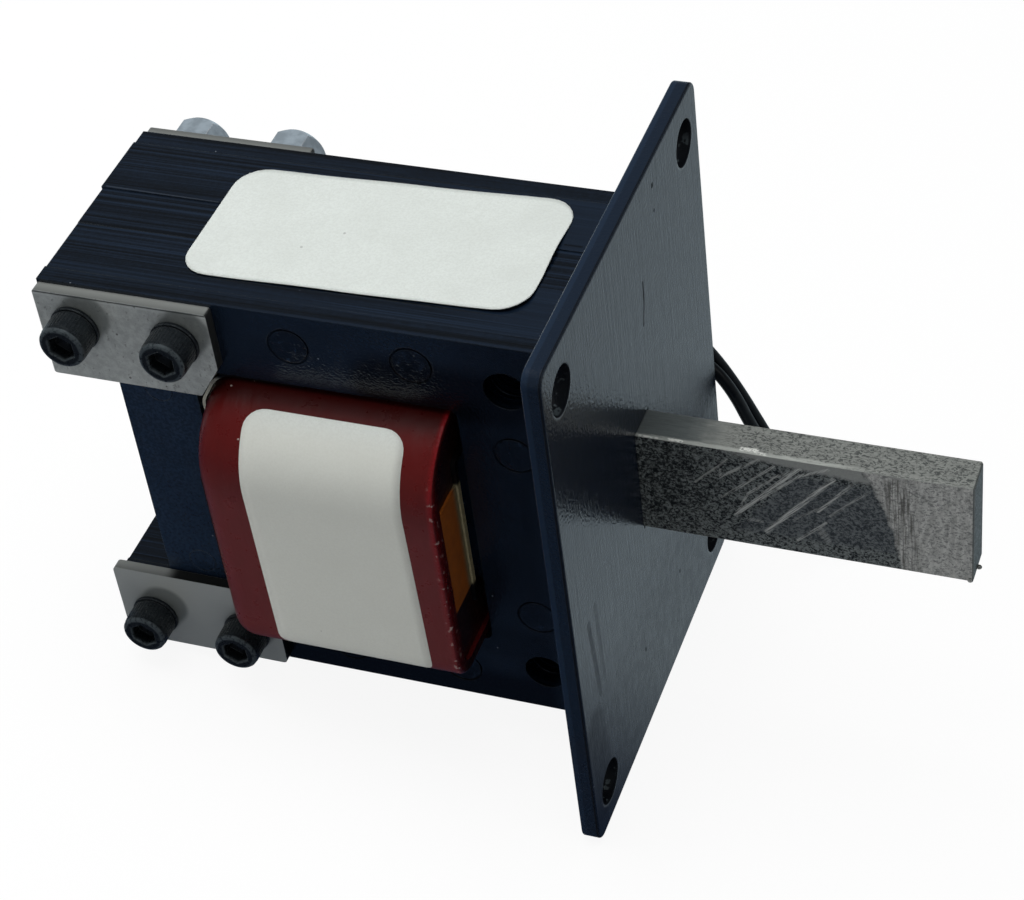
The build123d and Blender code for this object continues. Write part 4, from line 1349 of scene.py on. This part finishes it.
class SOLENOID_OT_stage(bpy.types.Operator):
    """Floor that the solenoid lies on, studio lamps and the camera"""

    bl_idname = "solenoid.stage"
    bl_label = "Stage"

    def execute(self, context):
        stage = context.scene.solenoid_stage
        context.scene.view_settings.view_transform = "Standard"
        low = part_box("mounting_flange")[0]
        tilt = math.atan(LYING_SLOPE)
        builder = bmesh.new()
        bmesh.ops.create_grid(builder, x_segments=1, y_segments=1, size=FLOOR_HALF_SIZE)
        turn = Matrix.Translation((low[0], 0, low[2])) @ Matrix.Rotation(tilt, 4, "Y")
        bmesh.ops.transform(builder, matrix=turn, verts=builder.verts)
        mesh = bpy.data.meshes.new("floor")
        builder.to_mesh(mesh)
        builder.free()
        floor = bpy.data.objects.new("floor", mesh)
        context.scene.collection.objects.link(floor)
        mesh.materials.append(self.floor_material())
        self.light(context, stage)
        self.camera(context, stage)
        return {"FINISHED"}

    def floor_material(self):
        """White to the camera; in reflections bright beyond the solenoid and dark before it."""
        material = bpy.data.materials.new("Pale floor")
        material.use_nodes = True
        tree = material.node_tree
        tree.nodes.clear()
        paper = add_node(tree, "ShaderNodeBsdfDiffuse", {"Color": (0.8, 0.8, 0.8, 1)})
        white = add_node(tree, "ShaderNodeEmission", {"Color": (1, 1, 1, 1), "Strength": 1.06})
        place = object_place(tree)
        along, across, _ = apart(tree, place)
        ahead = times(tree, spread(tree, across, -38.0, 12.0), spread(tree, along, -12.0, 2.0))
        far = largest(tree, ahead, spread(tree, across, 0.0, 30.0))
        shade = blend(tree, far, MIRRORED_NEAR, MIRRORED_FAR)
        mirrored = add_node(tree, "ShaderNodeEmission", {"Color": shade, "Strength": 1.0})
        path = tree.nodes.new("ShaderNodeLightPath")
        away = spread(tree, length_of(tree, place), 180.0, 700.0, 0.86, 1.0)
        lit = mix_shaders(tree, times(tree, path.outputs["Is Camera Ray"], away), paper, white)
        mixed = mix_shaders(tree, path.outputs["Is Glossy Ray"], lit, mirrored)
        output = tree.nodes.new("ShaderNodeOutputMaterial")
        tree.links.new(mixed.outputs[0], output.inputs["Surface"])
        return material

    def light(self, context, stage):
        """A dim room that the camera sees as white, a large soft lamp overhead and fills from the sides."""
        world = bpy.data.worlds.new("Studio")
        context.scene.world = world
        world.use_nodes = True
        tree = world.node_tree
        tree.nodes.clear()
        room = add_node(tree, "ShaderNodeBackground", {"Color": (0.95, 0.98, 1.0, 1), "Strength": 0.2})
        dim = add_node(tree, "ShaderNodeBackground", {"Color": (0.85, 0.93, 1.0, 1), "Strength": 0.13})
        white = add_node(tree, "ShaderNodeBackground", {"Color": (1, 1, 1, 1), "Strength": 1.0})
        path = tree.nodes.new("ShaderNodeLightPath")
        inside = mix_shaders(tree, path.outputs["Is Glossy Ray"], room, dim)
        mixed = mix_shaders(tree, path.outputs["Is Camera Ray"], inside, white)
        output = tree.nodes.new("ShaderNodeOutputWorld")
        tree.links.new(mixed.outputs[0], output.inputs["Surface"])
        power = stage.lamp_power
        # Name, place, side, power, aim, and whether glossy surfaces show it
        lamps = (
            ("overhead", (-0.1, 0.05, 0.75), 0.6, power * 0.88, (-0.03, 0, 0), False),
            ("sparkle", (-0.1, 0.05, 0.75), 0.16, power * 0.12, (-0.03, 0, 0), True),
            ("left_fill", (-0.8, -0.25, 0.25), 0.4, power * 0.18, (-0.05, 0, 0), False),
            ("right_fill", (0.8, -0.1, 0.3), 0.35, power * 0.06, (0, 0, 0), True),
        )
        for name, place, size, watts, target, mirrored in lamps:
            lamp = bpy.data.lights.new(name, "AREA")
            lamp.shape = "SQUARE"
            lamp.size = size
            lamp.energy = watts
            made = bpy.data.objects.new(name, lamp)
            made.location = place
            made.visible_glossy = mirrored
            made.rotation_euler = (Vector(target) - Vector(place)).to_track_quat("-Z", "Y").to_euler()
            context.scene.collection.objects.link(made)

    def camera(self, context, stage):
        """The camera, turned from the stage's three angles."""
        azimuth, elevation, roll = stage.azimuth, stage.elevation, stage.roll
        back = Vector(
            (
                math.cos(elevation) * math.sin(azimuth),
                -math.cos(elevation) * math.cos(azimuth),
                math.sin(elevation),
            )
        )
        level = (-back).cross(Vector((0, 0, 1))).normalized()
        upright = level.cross(-back)
        right = level * math.cos(roll) + upright * math.sin(roll)
        up = upright * math.cos(roll) - level * math.sin(roll)
        camera = bpy.data.cameras.new("camera")
        camera.sensor_width = CAMERA_SENSOR_MM
        camera.lens = stage.lens
        camera.clip_start = 0.01
        camera.clip_end = 20
        made = bpy.data.objects.new("camera", camera)
        turn = Matrix((right, up, back)).transposed().to_4x4()
        made.matrix_world = Matrix.Translation(CAMERA_PLACE) @ turn
        context.scene.collection.objects.link(made)
        context.scene.camera = made


class SOLENOID_OT_field(bpy.types.Operator):
    """Enamel on laminations, side plates, rivets and welds"""

    bl_idname = "solenoid.field"
    bl_label = "Field"

    def execute(self, context):
        packets = [name for name in nodes if name.endswith("lamination_packet")]
        edges = enamel_material("Enamel on sheet edges", sheets=1.0, peel=0.6, edge_wear_and_highlight=0.1, marks="field")
        dress(packets, edges)
        plates = enamel_material("Enamel on side plates", 0.4, 4.5, 0.3, 0.6, 0.1, marks="near side")
        dress(["near_side_plate", "far_side_plate"], plates)
        rivets = enamel_material("Enamel on rivets", 1.3, 14.0, 0.3, edge_wear_and_highlight=0.1, lumps=0.7, marks="near side")
        dress(["field_rivets"], rivets)
        dress(["flange_welds"], enamel_material("Enamel on welds", grain=0.7, peel=5.0))
        dress(["shading_ring"], bright_material("Copper ring", linear(170, 96, 62), 0.35))
        return {"FINISHED"}


class SOLENOID_OT_flange(bpy.types.Operator):
    """Glossy enamel on the mounting flange"""

    bl_idname = "solenoid.flange"
    bl_label = "Flange"

    def execute(self, context):
        enamel = enamel_material(
            "Enamel on flange", 0.6, 5.0, 0.2, edge_wear_and_highlight=0.04, lines=(0.9, 1.3, 0.05), marks="flange"
        )
        dress(["mounting_flange"], enamel)
        return {"FINISHED"}


class SOLENOID_OT_guides(bpy.types.Operator):
    """Guide plates, their screws and lock nuts"""

    bl_idname = "solenoid.guides"
    bl_label = "Guide Plates"

    def execute(self, context):
        zinc = plate_material()
        for name in [name for name in nodes if name.endswith("guide_plate")]:
            guide_plate(name, zinc)
        bright = bright_material("Bright zinc", linear(206, 221, 232), 0.14, 0.5, 0.5, 1.0, 0.74)
        dress(["lock_nuts"], bright)
        dress(["nut_inserts"], plain_material("Nylon", linear(196, 194, 182), 0.5))
        sizes = context.scene.solenoid_sizes
        builder = bmesh.new()
        for x, z in SCREW_POINTS:
            knurled_screw(builder, x, z, sizes)
        for face in builder.faces:
            face.smooth = False
        screws = mesh_object("knurled_screws", builder, oxide_material())
        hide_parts("clamp_screws")
        return {"FINISHED"}


class SOLENOID_OT_coil(bpy.types.Operator):
    """Varnished coil with its tube, winding, insulation and spring"""

    bl_idname = "solenoid.coil"
    bl_label = "Coil"

    def execute(self, context):
        dress(["coil_jacket"], jacket_material())
        winding = plain_material("Varnished winding", linear(52, 20, 18), 0.35, 1.2, 0.0001, 0.5, 0.3)
        dress(["coil_winding"], winding)
        dress(["coil_tube"], tube_material())
        dress(["insulating_strips"], strip_material())
        dress(["retaining_spring"], spring_material())
        return {"FINISHED"}


class SOLENOID_OT_labels(bpy.types.Operator):
    """Blank labels on the field and round the coil"""

    bl_idname = "solenoid.labels"
    bl_label = "Labels"

    def execute(self, context):
        sizes = context.scene.solenoid_sizes
        stock = label_material()
        field_length, field_width, field_corner = FIELD_LABEL
        coil_length, coil_width, coil_corner = COIL_LABEL

        def on_field(u, v):
            along = u / field_length + 0.5
            x = FIELD_LABEL_REAR_X + field_length * along
            edges = (FIELD_LABEL_NEAR_Y, FIELD_LABEL_FAR_Y)
            near, far = (start + change * along for start, change in edges)
            y = near + (far - near) * (v / field_width + 0.5)
            end = max(0.0, (u - FIELD_LABEL_LIFTS_FROM) / (field_length / 2 - FIELD_LABEL_LIFTS_FROM))
            wave = end**2 * (0.55 + 0.45 * math.sin(v * 0.42 + 0.8)) * sizes.label_lift / MM
            wave += 0.05 * (1 + math.sin(u * 0.31 + v * 0.17))
            return Vector((x, y, STACK_TOP_Z + 0.02 + wave)) * MM

        flat = sheet_points(field_length, field_width, field_corner, 48, 26)
        sheet_piece("field_label", flat, on_field, sizes.label_thickness, stock, "frame_label")

        outline = jacket_path(0.03)

        def on_coil(u, v):
            down = 0.5 - u / coil_length
            x = COIL_LABEL_X + COIL_LABEL_DRIFT * (down - 0.5) + v
            y, z = at_length(outline, COIL_LABEL_START + coil_length * down)
            return Vector((x, y, z)) * MM

        flat = sheet_points(coil_length, coil_width, coil_corner, 60, 16)
        sheet_piece("wrapped_label", flat, on_coil, sizes.label_thickness, stock, "coil_label")
        return {"FINISHED"}


class SOLENOID_OT_plunger(bpy.types.Operator):
    """Plunger and push bar"""

    bl_idname = "solenoid.plunger"
    bl_label = "Plunger"

    def execute(self, context):
        dress(["plunger_laminations"], enamel_material("Enamel on plunger sheets", sheets=0.8, edge_wear_and_highlight=0.3))
        plates = enamel_material("Enamel on plunger plates", 0.4, 3.0, 0.3, edge_wear_and_highlight=0.3, tint=3.1)
        dress(["plunger_near_plate", "plunger_far_plate", "plunger_rivets"], plates)
        dress(["bar_pins"], bright_material("Pin steel", linear(110, 112, 116), 0.35))
        steel = bar_material()
        dress(["push_bar"], steel)
        builder = bmesh.new()
        for middle, half_sizes in BAR_BURRS:
            shape = Matrix.Diagonal((*(part * MM for part in half_sizes), 1))
            put = Matrix.Translation(Vector(middle) * MM) @ shape
            bmesh.ops.create_icosphere(builder, subdivisions=3, radius=1, matrix=put)
        for face in builder.faces:
            face.smooth = True
        burrs = mesh_object("bar_burrs", builder, steel, "plunger")
        return {"FINISHED"}


class SOLENOID_OT_leads(bpy.types.Operator):
    """Two lead wires with their boot, sleeves and stripped ends"""

    bl_idname = "solenoid.leads"
    bl_label = "Leads"

    def execute(self, context):
        insulation = lead_material()
        dress(["lead_boot", "lead_sleeves"], insulation)
        dress(["lead_tip_a", "lead_tip_b"], bright_material("Tinned strands", linear(190, 192, 194), 0.3))
        diameter = context.scene.solenoid_sizes.lead_diameter
        for lead, route in LEAD_ROUTES.items():
            curve = bpy.data.curves.new(f"lead_{lead}_wire", "CURVE")
            curve.dimensions = "3D"
            curve.bevel_depth = diameter / 2
            curve.bevel_resolution = 6
            curve.use_fill_caps = True
            curve.resolution_u = 14
            spline = curve.splines.new("NURBS")
            spline.points.add(len(route) - 1)
            for point, (x, y, z) in zip(spline.points, route):
                if z is None:
                    table = FLANGE_BOTTOM_Z - LYING_SLOPE * x
                    z = table + diameter / MM / 2 + LEAD_CLEARANCE
                point.co = (x * MM, y * MM, z * MM, 1)
            spline.order_u = 3
            spline.use_endpoint_u = True
            curve.materials.append(insulation)
            wire = bpy.data.objects.new(f"lead_{lead}_wire", curve)
            context.scene.collection.objects.link(wire)
            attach(wire, "frame")
            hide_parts(f"lead_{lead}")
        return {"FINISHED"}


class SOLENOID_PT_panel(bpy.types.Panel):
    """Lists the pieces of the solenoid"""

    bl_idname = "SOLENOID_PT_panel"
    bl_label = "Push Solenoid"
    bl_space_type = "VIEW_3D"
    bl_region_type = "UI"
    bl_category = "Solenoid"

    def draw(self, context):
        for settings in ("solenoid_finish", "solenoid_sizes", "solenoid_stage"):
            group = getattr(context.scene, settings)
            for name in group.__annotations__:
                self.layout.prop(group, name)
        for operator in OPERATORS:
            self.layout.operator(operator.bl_idname)


OPERATORS = (
    SOLENOID_OT_stage,
    SOLENOID_OT_leads,
    SOLENOID_OT_field,
    SOLENOID_OT_flange,
    SOLENOID_OT_guides,
    SOLENOID_OT_coil,
    SOLENOID_OT_labels,
    SOLENOID_OT_plunger,
)
SETTINGS = (SolenoidFinish, SolenoidSizes, SolenoidStage)
CLASSES = (*SETTINGS, *OPERATORS, SOLENOID_PT_panel)


def register():
    """Registers the classes and hangs the settings on the scene."""
    for made in CLASSES:
        bpy.utils.register_class(made)
    bpy.types.Scene.solenoid_finish = bpy.props.PointerProperty(type=SolenoidFinish)
    bpy.types.Scene.solenoid_sizes = bpy.props.PointerProperty(type=SolenoidSizes)
    bpy.types.Scene.solenoid_stage = bpy.props.PointerProperty(type=SolenoidStage)


def unregister():
    """Takes the settings and the classes away again."""
    del bpy.types.Scene.solenoid_stage
    del bpy.types.Scene.solenoid_sizes
    del bpy.types.Scene.solenoid_finish
    for made in reversed(CLASSES):
        bpy.utils.unregister_class(made)


def main():
    """Builds the dressed solenoid."""
    register()
    make_groups()
    bpy.ops.solenoid.stage()
    bpy.ops.solenoid.leads()
    bpy.ops.solenoid.field()
    bpy.ops.solenoid.flange()
    bpy.ops.solenoid.guides()
    bpy.ops.solenoid.coil()
    bpy.ops.solenoid.labels()
    bpy.ops.solenoid.plunger()
    bpy.context.view_layer.update()


if __name__ == "__main__":
    main()
